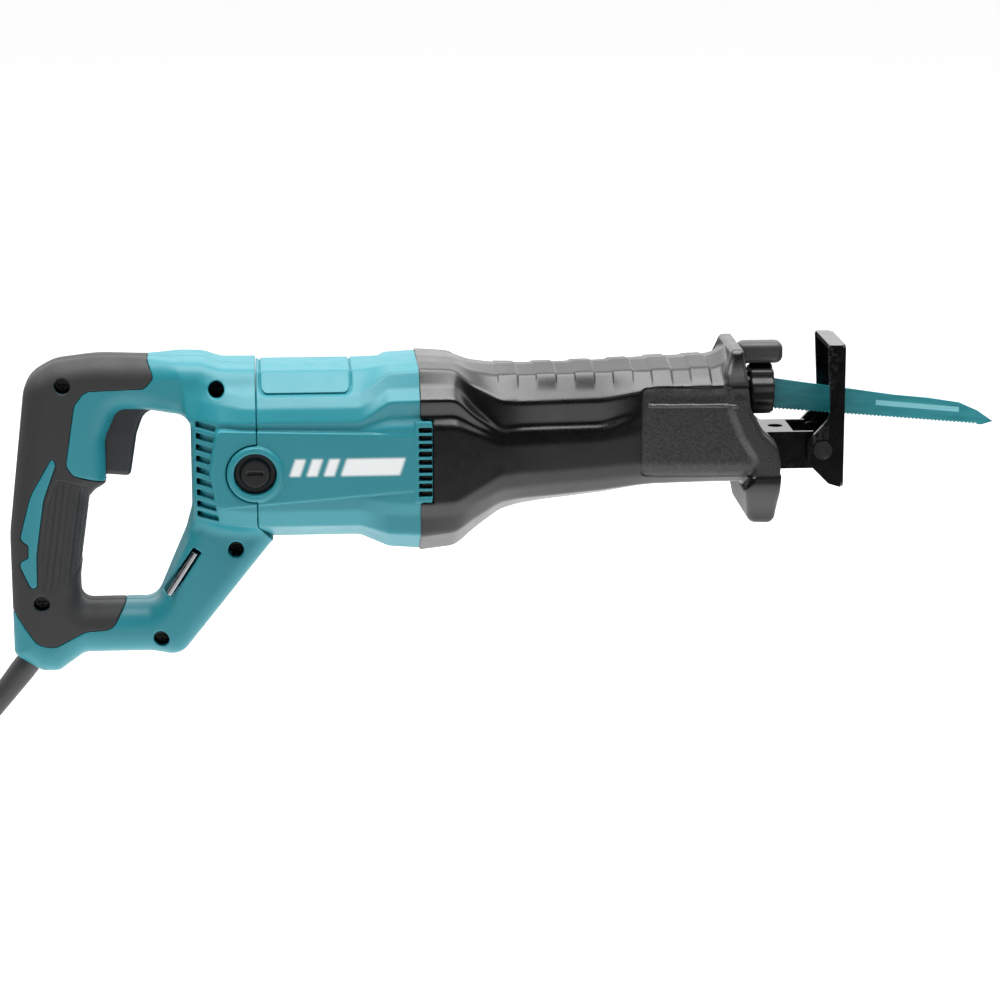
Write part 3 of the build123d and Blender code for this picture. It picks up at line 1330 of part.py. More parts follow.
with BuildPart() as lock_pin:
    with BuildSketch(Plane.XZ.offset(BLADE_HALF)):
        with Locations((LOCK_PIN_X, 0)):
            Circle(LOCK_PIN_R)
    extrude(amount=-(CLAMP_R - 0.1 + BLADE_HALF))
lock_pin.part.label = "lock_pin"
export_step(lock_pin.part, "parts/lock_pin.step")

with BuildPart() as clamp_spring:
    with BuildLine() as clamp_coil:
        Helix(pitch=2.1, height=7.5, radius=11.0, center=(CLAMP_START + 2.5, 0, 0), direction=(1, 0, 0))
    with BuildSketch(Plane(origin=clamp_coil.line @ 0, z_dir=clamp_coil.line % 0)):
        Circle(0.7)
    sweep(path=clamp_coil.line, is_frenet=True)
clamp_spring.part.label = "clamp_spring"
export_step(clamp_spring.part, "parts/clamp_spring.step")

with BuildPart() as clamp_sleeve:
    with BuildSketch(Plane.YZ.offset(CLAMP_SLEEVE_START)):
        Circle(CLAMP_SLEEVE_R)
        with PolarLocations(CLAMP_SLEEVE_R - 1.6, 6):
            Circle(3.0)
        Circle(CLAMP_R + RUNNING, mode=Mode.SUBTRACT)
    extrude(amount=CLAMP_SLEEVE_END - CLAMP_SLEEVE_START)
clamp_sleeve.part.label = "clamp_sleeve"
export_step(clamp_sleeve.part, "parts/clamp_sleeve.step")

tooth_count = int((BLADE_TOE[0] - BLADE_HEEL[0]) / TOOTH_PITCH)
tooth_line_slope = (BLADE_TOE[1] - BLADE_HEEL[1]) / (BLADE_TOE[0] - BLADE_HEEL[0])
teeth = []
for index in range(tooth_count):
    tooth_x = BLADE_HEEL[0] + index * TOOTH_PITCH
    tooth_z = BLADE_HEEL[1] + (tooth_x - BLADE_HEEL[0]) * tooth_line_slope
    teeth.append((tooth_x, tooth_z + TOOTH_DEPTH))
    teeth.append((tooth_x + 0.45 * TOOTH_PITCH, tooth_z))

with BuildPart() as blade:
    with BuildSketch(Plane.XZ.offset(-BLADE_HALF)):
        with BuildLine():
            Polyline(
                BLADE_TOE,
                (281.0, -20.2),
                (272.5, -14.2),
                (262.0, -9.4),
                (245.0, -6.6),
                (226.0, -4.6),
                (190.0, 0.9),
                (159.5, 5.6),
                (152.0, SHANK_HALF),
                (SHANK_START, SHANK_HALF),
                (SHANK_START, -SHANK_HALF),
                (158.4, -SHANK_HALF),
                *teeth,
                close=True,
            )
        make_face()
        with Locations((LOCK_PIN_X, 0)):
            Circle(LOCK_PIN_R + 0.3, mode=Mode.SUBTRACT)
    extrude(amount=2 * BLADE_HALF)
blade.part.label = "blade"
export_step(blade.part, "parts/blade.step")

with BuildPart() as clamp_lever:
    with BuildSketch(Plane.YZ.offset(LEVER_RING_START)):
        Circle(LEVER_RING_R)
        Circle(LEVER_RING_INNER_R, mode=Mode.SUBTRACT)
    extrude(amount=LEVER_RING_END - LEVER_RING_START)
    # Arm and thumb paddle
    with BuildSketch(Plane.YZ.offset(LEVER_RING_END)):
        Circle(LEVER_TIP_R)
        Circle(LEVER_RING_INNER_R, mode=Mode.SUBTRACT)
        with Locations((0, LEVER_TIP_R)):
            Rectangle(2 * LEVER_HALF, 2 * (LEVER_TIP_R - 9.0), mode=Mode.INTERSECT)
    extrude(amount=LEVER_TIP_X - LEVER_RING_END)
    fillet(clamp_lever.faces().sort_by(Axis.X)[-1].edges().sort_by(Axis.Z)[-1:], 4.0)
clamp_lever.part.label = "clamp_lever"
export_step(clamp_lever.part, "parts/clamp_lever.step")

# ---- Shoe and slide plate ----
pivot_x, pivot_z = SHOE_PIVOT
web_end = pivot_x - 4.0
with BuildPart() as side_web:
    with BuildSketch(Plane.XZ.offset(SLIDE_HALF - SLIDE_SHEET)):
        with Locations(((SLIDE_START + web_end) / 2, (SLIDE_TOP_Z + SLIDE_BOTTOM_Z) / 2)):
            Rectangle(web_end - SLIDE_START, SLIDE_TOP_Z - SLIDE_BOTTOM_Z)
        with Locations(SHOE_PIVOT):
            Circle(PIVOT_EAR_R)
            Circle(PIVOT_PIN_R + RUNNING, mode=Mode.SUBTRACT)
        with Locations((100.0, SLIDE_BOTTOM_Z)):
            with GridLocations(DETENT_PITCH, 0, 5, 1):
                Circle(1.6, mode=Mode.SUBTRACT)
    extrude(amount=SLIDE_SHEET)
side_webs = both_sides(side_web)

with BuildPart() as shoe_slide_plate:
    with BuildSketch(Plane.XY.offset(SLIDE_TOP_Z)):
        with Locations(((SLIDE_START + SLIDE_TOP_END) / 2, 0)):
            Rectangle(SLIDE_TOP_END - SLIDE_START, 2 * SLIDE_HALF)
        with Locations((161.0, 0)):
            Circle(4.0, mode=Mode.SUBTRACT)
    extrude(amount=-SLIDE_SHEET)
    add(side_webs.part)
shoe_slide_plate.part.label = "shoe_slide_plate"
export_step(shoe_slide_plate.part, "parts/shoe_slide_plate.step")

with BuildPart() as slide_keeper:
    with Locations((118.0, 0, NOSE_BOTTOM_Z - 0.65)):
        Box(12.0, 2 * NOSE_HALF - 8.0, 1.2)
slide_keeper.part.label = "slide_keeper"
export_step(slide_keeper.part, "parts/slide_keeper.step")

with BuildPart() as shoe_pivot_pin:
    with BuildSketch(Plane.XZ.offset(-SHOE_HALF - 0.05)):
        with Locations(SHOE_PIVOT):
            Circle(PIVOT_PIN_R)
    extrude(amount=2 * SHOE_HALF + 0.1)
    for side in (-1, 1):
        with BuildSketch(Plane.XZ.offset(side * (SHOE_HALF + 0.05))):
            with Locations(SHOE_PIVOT):
                Circle(PIVOT_BUSH_R)
        extrude(amount=side * 1.6)
shoe_pivot_pin.part.label = "shoe_pivot_pin"
export_step(shoe_pivot_pin.part, "parts/shoe_pivot_pin.step")

pivot_bush = tube_y(
    SHOE_SHEET + 0.05 - SHOE_HALF,
    -SLIDE_HALF - 0.05,
    PIVOT_BUSH_R,
    PIVOT_PIN_R + RUNNING,
    pivot_x,
    pivot_z,
)
shoe_pivot_bushes = both_sides(pivot_bush)
shoe_pivot_bushes.part.label = "shoe_pivot_bushes"
export_step(shoe_pivot_bushes.part, "parts/shoe_pivot_bushes.step")

shoe_back_x = SHOE_FACE_X - SHOE_SHEET
with BuildPart() as shoe_flange:
    with BuildSketch(Plane.XZ.offset(SHOE_HALF - SHOE_SHEET)):
        with BuildLine():
            FilletPolyline(
                (shoe_back_x + 1.0, SHOE_TOP_Z),
                (SHOE_FLANGE_X - 1.5, SHOE_TOP_Z),
                (SHOE_FLANGE_X + 0.5, pivot_z + 18.0),
                (pivot_x - PIVOT_EAR_R, pivot_z + 5.0),
                (pivot_x - PIVOT_EAR_R, pivot_z - 7.0),
                (SHOE_FLANGE_X, SHOE_FOOT_Z + 2.0),
                (shoe_back_x + 1.0, SHOE_FOOT_Z),
                radius=(0, 1.5, 10.0, 6.0, 6.0, 3.0, 0),
                close=True,
            )
        make_face()
        with Locations(SHOE_PIVOT):
            Circle(PIVOT_PIN_R + RUNNING, mode=Mode.SUBTRACT)
    extrude(amount=SHOE_SHEET)
shoe_flanges = both_sides(shoe_flange)

with BuildPart() as shoe:
    with BuildSketch(Plane.YZ.offset(shoe_back_x)):
        with Locations((0, (SHOE_TOP_Z + SHOE_FOOT_Z) / 2)):
            RectangleRounded(2 * SHOE_HALF, SHOE_TOP_Z - SHOE_FOOT_Z, 3.0)
        with Locations((0, (WINDOW_TOP_Z + WINDOW_FOOT_Z) / 2)):
            SlotOverall(WINDOW_TOP_Z - WINDOW_FOOT_Z, 2 * WINDOW_HALF, rotation=90, mode=Mode.SUBTRACT)
    extrude(amount=SHOE_SHEET)
    add(shoe_flanges.part)
    # Top lip, bent towards the tool
    with BuildSketch(Plane.XY.offset(SHOE_TOP_Z)):
        with Locations(((SHOE_FLANGE_X - 1.0 + shoe_back_x) / 2, 0)):
            Rectangle(shoe_back_x - SHOE_FLANGE_X + 1.0, 2 * (SHOE_HALF - 1.0))
    extrude(amount=-SHOE_SHEET)
shoe.part.label = "shoe"
export_step(shoe.part, "parts/shoe.step")

with BuildPart() as shoe_button:
    with BuildSketch(Plane.XZ.offset(-NOSE_HALF - 6.0)):
        with Locations(SHOE_BUTTON):
            Circle(SHOE_BUTTON_R)
    extrude(amount=-(BUTTON_OUT_Y - NOSE_HALF - 6.0))
    fillet(shoe_button.edges().group_by(Axis.Y)[-1], 1.2)
    with BuildSketch(Plane.XZ.offset(-NOSE_HALF - 6.0)):
        with Locations(SHOE_BUTTON):
            Circle(BUTTON_STEM_R)
    extrude(amount=NOSE_HALF + 6.0 - SLIDE_HALF - BUTTON_TRAVEL - 0.4)
shoe_button.part.label = "shoe_button"
export_step(shoe_button.part, "parts/shoe_button.step")

# ---- Front boot ----
def boot_loft(sections, inset):
    """Straight-sided loft through rounded rectangles given as x, half width, top, bottom, radius."""
    with BuildPart() as form:
        for x, half, top, bottom, radius in sections:
            with BuildSketch(Plane.YZ.offset(x)):
                with Locations((0, (top + bottom) / 2)):
                    RectangleRounded(2 * (half - inset), top - bottom - 2 * inset, radius - inset)
        loft(ruled=True)
    return form


cavity_end = (CAVITY_END_X, *BOOT_SECTIONS[-1][1:])
boot_outer = boot_loft(BOOT_SECTIONS, 0.0)
boot_inner = boot_loft(BOOT_SECTIONS[:-1] + [cavity_end], BOOT_WALL)
hand_guard_face = outline_face(GUARD_CORNERS, 0.0)
with BuildPart() as front_boot:
    add(boot_outer.part)
    extrude(hand_guard_face.sketch, amount=HAND_GUARD_HALF, both=True)
    add(boot_inner.part, mode=Mode.SUBTRACT)
    # Mouth round the blade clamp, and the slide plate's way out
    with BuildSketch(Plane.YZ.offset(CAVITY_END_X - 10.0)):
        Circle(MOUTH_R)
    extrude(amount=60.0, mode=Mode.SUBTRACT)
    with BuildSketch(Plane.YZ.offset(CAVITY_END_X - 10.0)):
        with Locations((0, (SLIDE_TOP_Z + SLIDE_BOTTOM_Z) / 2)):
            Rectangle(2 * SLIDE_HALF + 1.6, SLIDE_TOP_Z - SLIDE_BOTTOM_Z + 1.6)
    extrude(amount=60.0, mode=Mode.SUBTRACT)
    # Notches for the motor housing's tongues, and the shoe button's hole
    with BuildSketch(Plane.XZ.offset(-60.0)):
        with Locations(((MOTOR_FRONT_X + TONGUE_X) / 2, MOTOR_Z + 5.0)):
            Rectangle(TONGUE_X - MOTOR_FRONT_X + 1.0, 45.0)
    extrude(amount=17.0, mode=Mode.SUBTRACT)
    with BuildSketch(Plane.XZ.offset(43.0)):
        with Locations(((MOTOR_FRONT_X + TONGUE_X) / 2, MOTOR_Z + 5.0)):
            Rectangle(TONGUE_X - MOTOR_FRONT_X + 1.0, 45.0)
    extrude(amount=17.0, mode=Mode.SUBTRACT)
    with BuildSketch(Plane.XZ):
        with Locations(SHOE_BUTTON):
            Circle(SHOE_BUTTON_R + 0.3)
    extrude(amount=-60.0, mode=Mode.SUBTRACT)
front_boot.part.label = "front_boot"
export_step(front_boot.part, "parts/front_boot.step")
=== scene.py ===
"""Looks of the corded reciprocating saw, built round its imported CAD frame.

The moulded shells are distance fields, worked out in millimetres on a grid and turned into smooth meshes:
a field is negative inside the material. Everything else is the CAD's own pieces with a finish.
"""
import json
import math
from functools import reduce

import bpy
import numpy as np
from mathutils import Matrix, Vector


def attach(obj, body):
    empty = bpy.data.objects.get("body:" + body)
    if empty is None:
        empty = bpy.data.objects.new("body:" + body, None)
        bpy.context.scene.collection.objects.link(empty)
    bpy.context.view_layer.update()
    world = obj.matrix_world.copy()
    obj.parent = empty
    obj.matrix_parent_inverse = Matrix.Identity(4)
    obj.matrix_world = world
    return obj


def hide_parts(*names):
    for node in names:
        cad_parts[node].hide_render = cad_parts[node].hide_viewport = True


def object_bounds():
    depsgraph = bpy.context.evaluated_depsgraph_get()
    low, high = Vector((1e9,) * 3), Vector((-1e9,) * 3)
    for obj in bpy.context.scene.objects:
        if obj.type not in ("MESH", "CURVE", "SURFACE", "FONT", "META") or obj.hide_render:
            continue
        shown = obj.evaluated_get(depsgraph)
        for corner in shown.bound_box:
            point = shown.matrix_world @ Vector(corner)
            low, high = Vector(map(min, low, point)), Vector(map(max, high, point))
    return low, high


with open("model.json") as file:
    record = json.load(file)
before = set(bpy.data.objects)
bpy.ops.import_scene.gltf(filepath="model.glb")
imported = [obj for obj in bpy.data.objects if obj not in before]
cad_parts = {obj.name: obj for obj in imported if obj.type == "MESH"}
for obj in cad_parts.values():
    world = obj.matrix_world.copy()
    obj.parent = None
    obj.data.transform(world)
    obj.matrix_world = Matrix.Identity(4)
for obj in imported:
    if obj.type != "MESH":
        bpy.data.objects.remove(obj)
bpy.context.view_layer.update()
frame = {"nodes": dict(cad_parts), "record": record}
replaced_nodes = set()

# ---- Driving dimensions, in millimetres ----
MM = 0.001
GRID_STEP = 0.7
HANDLE_WALL = 4
BOOT_WALL = 3
SKIN = 2.6  # the shell steps down by this much under the soft grip
GRIP_DEPTH = 2.5
SEAM_X = -120.7  # straight stretch of the seam between handle and motor housing
MOTOR_Z = -33  # height of the motor's axis
MOTOR_FRONT_X = -33.4
MOTOR_SLEEVE = (34, -148, -118)  # radius, rear x, front x of the part that lies inside the handle
MOTOR_BORES = ((41.2, -111), (31, -139.4), (11.1, -200))  # radius, rear x
HANDLE_BORE = (34.4, -148.5)  # radius, rear x of the room for the motor's sleeve
BOOT_REAR_X = -34.6
TONGUE_X = -28.2  # front end of the slotted tongue that reaches into a notch of the boot
TONGUE_SIDE = (43.8, 47.3)  # its distances from the middle plane
TONGUE_HALF = 21.8  # its half height
NOTCH_SIDE = 43.4
NOTCH_GAP = 0.5
# Painted shade: a black rubber sheet of the boot behind the tongue's cooling slots, so the slots read dark;
# its distance from the middle plane and its half height
SHADE_SHEET_SIDE = 40.6
SHADE_SHEET_HALF = 24
SLOT_COUNT = 9
SLOTS_Z = MOTOR_Z + 5
FRONT_SLOT = (-31.9, 4.3, 6.8, 2.9)  # x of the centre, pitch, length, height
REAR_SLOTS_Z = MOTOR_Z + 0.4
REAR_SLOT = (-152.4, 6.1, 3.3, 3)  # x of the rear end, pitch, height, depth
REAR_SLOT_SLOPE = 0.16
PANEL_HALF = 47  # raised side panel of the motor housing
PANEL_REAR = (-137, -9.8, -51.7)  # x, top z, bottom z
PANEL_FRONT = (-37.4, -12.9, -43.7)
PANEL_REAR_X = -145.2
PANEL_LEAN = 0.17  # its rear edge runs forward by this much per millimetre above and below its middle
BRUSH_X = -121.5
BRUSH_RING_R = 15
BRUSH_RING_HALF = 49.3
BRUSH_RECESS = (11.3, 42)  # radius, distance of its floor from the middle plane
BRUSH_BORE = (8.2, 20)
BRUSH_CAP = (11, 7.8, 46.4)  # rim radius, disc radius, half width over the discs
CAP_SEAT = 42.4
CAP_NECK = (7.6, 39, 5)  # radius, middle, half length
CAP_SLOT = (4, 0.8, 1.6)  # half length, half height, depth
LABEL_REAR_X = -118.6
LABEL_FRONT_X = -70.3
LABEL_FOOT_Z = 6.9
LABEL_CORNER = 4
LABEL_GROOVE = (0.9, 1.4)  # half width, depth
PRINT_BARS = ((-103, 5.5), (-94, 5.5), (-85, 5.5), (-76, 31))  # rear x, length
PRINT_LEAN = 0.35
PRINT_Z = MOTOR_Z + 3
PRINT_HALF = 4.6
PRINT_SIDE = 45.5

HANDLE_CORNERS = [  # x, z, corner radius
    (-110, 17.2, 0), (-139, 17.6, 8), (-149, 21.6, 10), (-205, 23.6, 60), (-228, 20.8, 20),
    (-243.4, 12, 20), (-253.6, -72, 60), (-253.3, -139.5, 5), (-238.5, -149, 5), (-229, -149, 4),
    (-215, -138.8, 8), (-163.5, -138.8, 14), (-110, -71.8, 0),
]
SEAM_CORNERS = [  # the part of the outline that lies in front of the seam's straight stretch
    (SEAM_X, 40, 0), (-300, 40, 0), (-300, -170, 0), (-100, -170, 0), (-100, -92, 0), (-112.6, -75, 2),
    (SEAM_X, -65, 6),
]
HAND_HOLE_CORNERS = [
    (-154.3, -6, 7), (-154.3, -64, 40), (-176, -111.5, 9), (-216.8, -111.5, 6), (-216.8, -98, 14),
    (-209.8, -50, 9), (-200.6, -45, 5), (-200.6, -20, 14), (-194, -5.2, 6),
]
GRIP_CORNERS = [  # where the soft grip covers the handle
    (-180.5, 60, 0), (-180, 27, 0), (-174.4, 13.7, 3), (-179.5, 7.6, 5), (-211, 6.6, 7), (-216.8, -1, 5),
    (-222, -33.5, 4), (-218.5, -38.8, 4), (-198, -44.5, 0), (-190, -60, 0), (-190, -108.7, 0),
    (-193.6, -113.4, 3), (-199.5, -124.2, 8), (-214, -125.1, 10), (-231, -134, 8), (-240, -132, 8),
    (-252, -115, 0), (-290, -115, 0), (-290, 60, 0),
]
SLIVER_CORNERS = [  # shell-coloured inlay at the back of the grip
    (-229, -28.5, 2), (-227.5, -33, 2), (-234.5, -52, 30), (-239, -82, 30), (-239.3, -107, 2),
    (-248.8, -87, 3), (-243.4, -83.5, 2), (-243.2, -76.5, 2), (-247.6, -73.8, 3), (-241.5, -50, 30),
]
PAD_CORNERS = [  # pleated area of the grip
    (-227.2, -41, 3), (-209.6, -46, 2), (-216, -90, 20), (-222, -98, 8), (-235.5, -103.5, 3),
    (-236.2, -80, 30), (-232, -54, 30),
]
PLEAT_PITCH = 3.4
PLEAT_LEAN = 0.146  # the grip leans forward by this much per millimetre of height
HANDLE_SCREWS = [  # x, z, depth of the screw's seat below the split plane
    (-222.9, 9.5, 9), (-237.1, -109.2, 9), (-173.4, -128.9, 9), (-141.4, 9.1, 14), (-132.5, -78.5, 14),
]
SCREW_WELL_R = 4.2
TRIGGER_WINDOW = (-191, -17.8, 21, 26.8, 9)  # x, z, half length, half height, half width
LOCK_BUTTON = (-208.5, -1, 5.3)
KEY_CENTRE = (-161.4, -91.6)
KEY_DIRECTION = (-0.544, -0.839)
KEY_RECESS = (15.5, 2.5, 11.6)  # half length, half height, deepest |y|
TRIGGER_CORNERS = [
    (-170.8, -4.2, 0.6), (-180.5, -7.6, 8), (-184.6, -19, 14), (-188.3, -41.8, 2.5), (-203.5, -40.5, 2),
    (-203.5, -8, 3), (-186, 8, 3), (-175.5, 8, 3),
]
TRIGGER_HALF = 8.4
TRIGGER_PIVOT = (-180.5, 4)
TRIGGER_STUB = (2.4, 13.4)  # radius, half width over both
TRIGGER_HOLLOW = ((-207.5, -191.5), (-5.5, 5.5), (-34.5, -9.5))
GRIP_HALF = 18.5
GRIP_EDGE = 12.5
SHOULDER_HALF = 27
SHOULDER_EDGE = 8.5
SHOULDER_X = (-182, -158)  # the handle widens between these

# Motor housing's section: for each x, (|y|, z) of its corners from the top centre to the bottom centre
HOUSING_MIDDLE = [
    (0, 17.4), (20, 17), (36, 6.4), (41.8, 0.9), (45.4, -6.8), (43.6, -8.8), (44.8, -12), (45.4, -47),
    (44, -54), (37, -64), (17, -73.6), (0, -75.3),
]
HOUSING_SECTIONS = {
    -152: [(0, 19.8), (16, 19.6), (26, 13), (31, 3.5), (34.5, -6), (34.8, -9), (35.5, -12), (35.5, -47),
           (35, -52), (30, -61), (16, -71.5), (0, -73.5)],
    -140: [(0, 17.8), (19, 17.5), (31, 9.5), (37, 2.4), (42.4, -6.6), (42, -9), (43.4, -12), (44, -47),
           (42.5, -53), (35, -63), (16, -73.2), (0, -75.2)],
    -128: HOUSING_MIDDLE,
    -66: HOUSING_MIDDLE,
    -51: [(0, 18.6), (14, 18.5), (30.5, 17.4), (37, 9.1), (44.8, 4.3), (42.6, -4.6), (46.4, -9.5),
          (46.4, -50), (43.6, -57), (42.4, -67.5), (25, -78.6), (0, -79.4)],
    -34: [(0, 19.4), (15, 19.3), (31, 18.2), (37.2, 9.5), (45.2, 4.7), (42.8, -4.2), (46.6, -9.5),
          (46.6, -51), (43.8, -57.4), (42.8, -68.2), (25.2, -79.8), (0, -80.4)],
}
# The front boot's section in the same form
NOSE_SIDE = [
    (36.2, 3), (36.6, -2), (36.6, -7), (36.6, -12), (36.6, -34), (35.2, -40), (29, -45), (16, -46.6),
    (0, -46.8),
]
GUARD_SECTION = [(0, 22.8), (19, 18.6), (33.4, 8.8)] + NOSE_SIDE
BOOT_SECTIONS = {
    -35: [(0, 20.8), (16, 20.4), (31, 19.2), (37, 11), (46.4, 5.2), (43.8, -4.4), (47.4, -9.3),
          (47.4, -51.5), (44.6, -58), (43.4, -69), (25.6, -81), (0, -81.6)],
    -15: [(0, 19.8), (15, 19.2), (29, 18), (35.4, 10.6), (44.8, 4.8), (42, -4.4), (46.2, -9.6),
          (46.2, -51), (43.4, -57.5), (41.6, -67), (24, -79), (0, -79.8)],
    -6: [(0, 16.6), (18, 15.2), (31, 10), (34.4, -0.5), (41.6, -4.6), (39.6, -10.5), (43, -13),
         (43, -46), (41, -52), (35, -62), (21, -71.5), (0, -73)],
    9: [(0, 15.2), (20, 12.8), (35.2, 2), (35.2, -12.8), (37, -15.4), (37.4, -17.5), (38.2, -21),
        (38.2, -38), (36.5, -46), (30, -54), (17, -61.2), (0, -62.4)],
    20: [(0, 15.3), (19, 12.8), (31.6, 0.2), (30.2, -12.8), (32.4, -15), (32.8, -17.5), (33.6, -22),
         (33.2, -38), (31.4, -46), (26, -53), (15, -58.4), (0, -59.4)],
    34: [(0, 15.8), (19, 12.8), (30.4, 0), (28.2, -12.8), (30.6, -15), (31, -17.6), (31.6, -22),
         (31, -38), (29.6, -45), (24, -52.5), (14, -56.6), (0, -57.4)],
    64: [(0, 16.7), (19, 13.6), (30, 0.6), (28, -12.4), (30.3, -14.6), (30.6, -17), (31, -21),
         (30.4, -36), (29, -43), (24, -49.8), (14, -53.2), (0, -53.8)],
    80: [(0, 17.2), (20, 14.2), (31.6, 4.4), (31.6, -6), (32.4, -10), (32.6, -14), (32.8, -18),
         (32.2, -34), (31, -41), (26, -47.2), (15, -50.2), (0, -50.8)],
    90: [(0, 17.5), (21, 14.8), (32.6, 7.4), (34.6, 2), (35, -2), (35, -7), (35, -12),
         (35, -34), (33.6, -40), (28, -45.8), (16, -48.4), (0, -48.8)],
    124: [(0, 18.6), (21, 15.8), (33.4, 8.6)] + NOSE_SIDE,
    132: GUARD_SECTION,
    150: GUARD_SECTION,
}
FLANGE_CORNERS = [  # S-shaped guard at the boot's front end, seen from the side
    (129, 14, 6), (133, 26, 2.6), (139.6, 26, 1.6), (141.4, 8, 10), (143, -5, 12), (149.5, -17, 8),
    (157.5, -24, 5), (159.6, -34, 6), (158.8, -50, 10), (156.8, -68.6, 4.5), (142.6, -68, 5),
    (139.2, -48, 6), (146, -34, 10), (137, -20, 12), (130.5, -4, 12),
]
FLANGE_HALF = 39.2
FLANGE_TOP_TAPER = (13, 0, 28)  # how much narrower it gets, and between which heights
FLANGE_FOOT_TAPER = (9, 44, 67)  # the same downwards
NOSE_FRONT_CORNERS = [  # the nose ends behind the guard's front edge
    (-60, 60, 0), (132, 60, 0), (137.5, 8, 10), (141, -6, 12), (148, -19, 8), (153.5, -26, 5),
    (154.5, -60, 0), (-60, -100, 0),
]
MOUTH_R = 19.9
MOUTH_X = 130.4
CAVITY_FRONT_X = 131.4
SLIDE_OPENING = (18, -42.2, -19.8)  # half width, bottom, top
NOSE_PANEL = (84, 160, -41, 7.6)  # x from, x to, bottom, top
NOSE_PANEL_DEPTH = 0.7
NOSE_RIDGE = (88, 134, -2, 1.1)  # x from, x to, z, height
TOP_PADS = (8.3, 20.5, 10.6, 6)  # x of the first, pitch, length, count
TOP_PAD_HEIGHT = 0.75
SHOE_BUTTON = (103, -31, 7.4)  # x, z, radius of its hole
LEVER_RING = (131, 143, 17, 14.65)  # x from, x to, radius, bore
LEVER_PADDLE = (139.5, 163.8, 14.4, 26.6, 7)  # x from, x to, bottom, top, half width
LEVER_CROWN_R = 27
COLLAR = (145.8, 158.7, 14, 10)  # x from, x to, radius, bore
COLLAR_LOBES = 5
COLLAR_LOBE_DEPTH = 1.3
CORD_EXIT = (-245.3, -144.6)  # x, z
CORD_ANGLE = math.radians(52)
CORD_BORE_R = 7.1
CORD_BORE_DEPTH = 30

# The blade's paint, in metres
BLADE_FALL = (0.159, 0.1)  # the blade's line falls from this x on, by this slope
BLADE_STRIPE = (0.216, 0.262, -0.0030, 0.0014)  # x from, x to, z, half height
BLADE_BARE_Z = (-0.0118, -0.0108)  # bare metal below the first, paint above the second

# Colours
TEAL = (0.016, 0.235, 0.285, 1.0)
PRINT_WHITE = (0.82, 0.84, 0.84, 1.0)
GRIP_GREY = (0.030, 0.030, 0.031, 1.0)
BOOT_BLACK = (0.0035, 0.0036, 0.0038, 1.0)
PANEL_GREY = (0.034, 0.034, 0.034, 1.0)
BLACK = (0.010, 0.010, 0.011, 1.0)
CAP_BLACK = (0.012, 0.012, 0.0125, 1.0)
TRIGGER_GREY = (0.032, 0.033, 0.036, 1.0)
LEVER_GREY = (0.050, 0.051, 0.053, 1.0)
PIN_BLACK = (0.014, 0.014, 0.015, 1.0)
BLADE_DARK = (0.012, 0.20, 0.235, 1.0)
BLADE_LIGHT = (0.02, 0.27, 0.31, 1.0)
STRIPE_TEAL = (0.25, 0.62, 0.68, 1.0)
BARE_STEEL = (0.42, 0.42, 0.43, 1.0)
RUBBED_STEEL = (0.12, 0.12, 0.12, 1.0)
FLOOR_WHITE = (0.86, 0.86, 0.86, 1.0)
PURE_WHITE = (1.0, 1.0, 1.0, 1.0)

# Camera and light, in metres
CAMERA_PLACE = (-0.1156, -1.75, 0.35)
CAMERA_AIM = (0.01085, 0.0, -0.06)
CAMERA_LENS = 119.24  # millimetres, on a 36 mm sensor
LIGHT_AIM = (0.0, 0.0, -0.03)
LIGHTS = [  # name, place, size, watts
    ("overhead", (0.0, -0.1, 1.5), (2.0, 1.3), 42.0),
    ("front fill", (-0.6, -1.6, 0.9), (0.7, 0.5), 0.8),
]
FLOOR_GAP = 0.06
FLOOR_REACH = 30.0
SKY_TOWARDS = (0.0, 0.75, 0.65)  # the studio's bright side is above and behind the object
SKY = (0.05, 0.62, 0.02, 1.5)  # where along that it starts and stops brightening, and both strengths
FLOOR_GLOW = 0.16
TABLE_GLOW = (0.35, 1.1, 1.9, 0.06)  # distances where it starts and stops fading, and both strengths


# ---- Distance fields ----
class Grid:
    """Points of a box, spaced by the grid step, as arrays that broadcast along x, y and z."""

    def __init__(self, low, high, step=GRID_STEP):
        self.step = step
        self.low = np.asarray(low, dtype=float) - 2.5 * step
        counts = np.ceil((np.asarray(high, dtype=float) - self.low) / step).astype(int) + 4
        axes = [start + step * np.arange(count) for start, count in zip(self.low, counts)]
        self.x = axes[0].astype(np.float32)[:, None, None]
        self.y = axes[1].astype(np.float32)[None, :, None]
        self.z = axes[2].astype(np.float32)[None, None, :]
        self.side = np.abs(self.y)


def smooth_step(value, start, end):
    t = np.clip((value - start) / (end - start), 0.0, 1.0)
    return t * t * (3.0 - 2.0 * t)


def join(a, b, blend=0.0):
    """Union of two fields, with a fillet about as wide as the blend."""
    if not blend:
        return np.minimum(a, b)
    h = np.maximum(blend - np.abs(a - b), 0.0) / blend
    return np.minimum(a, b) - h * h * blend * 0.25


def overlap(a, b, blend=0.0):
    return -join(-a, -b, blend)


def cut(a, b, blend=0.0):
    return overlap(a, -b, blend)


def union(fields):
    """Union of any number of fields, without fillets."""
    return reduce(np.minimum, fields)


def common(*fields):
    """What any number of fields share, without fillets."""
    return reduce(np.maximum, fields)


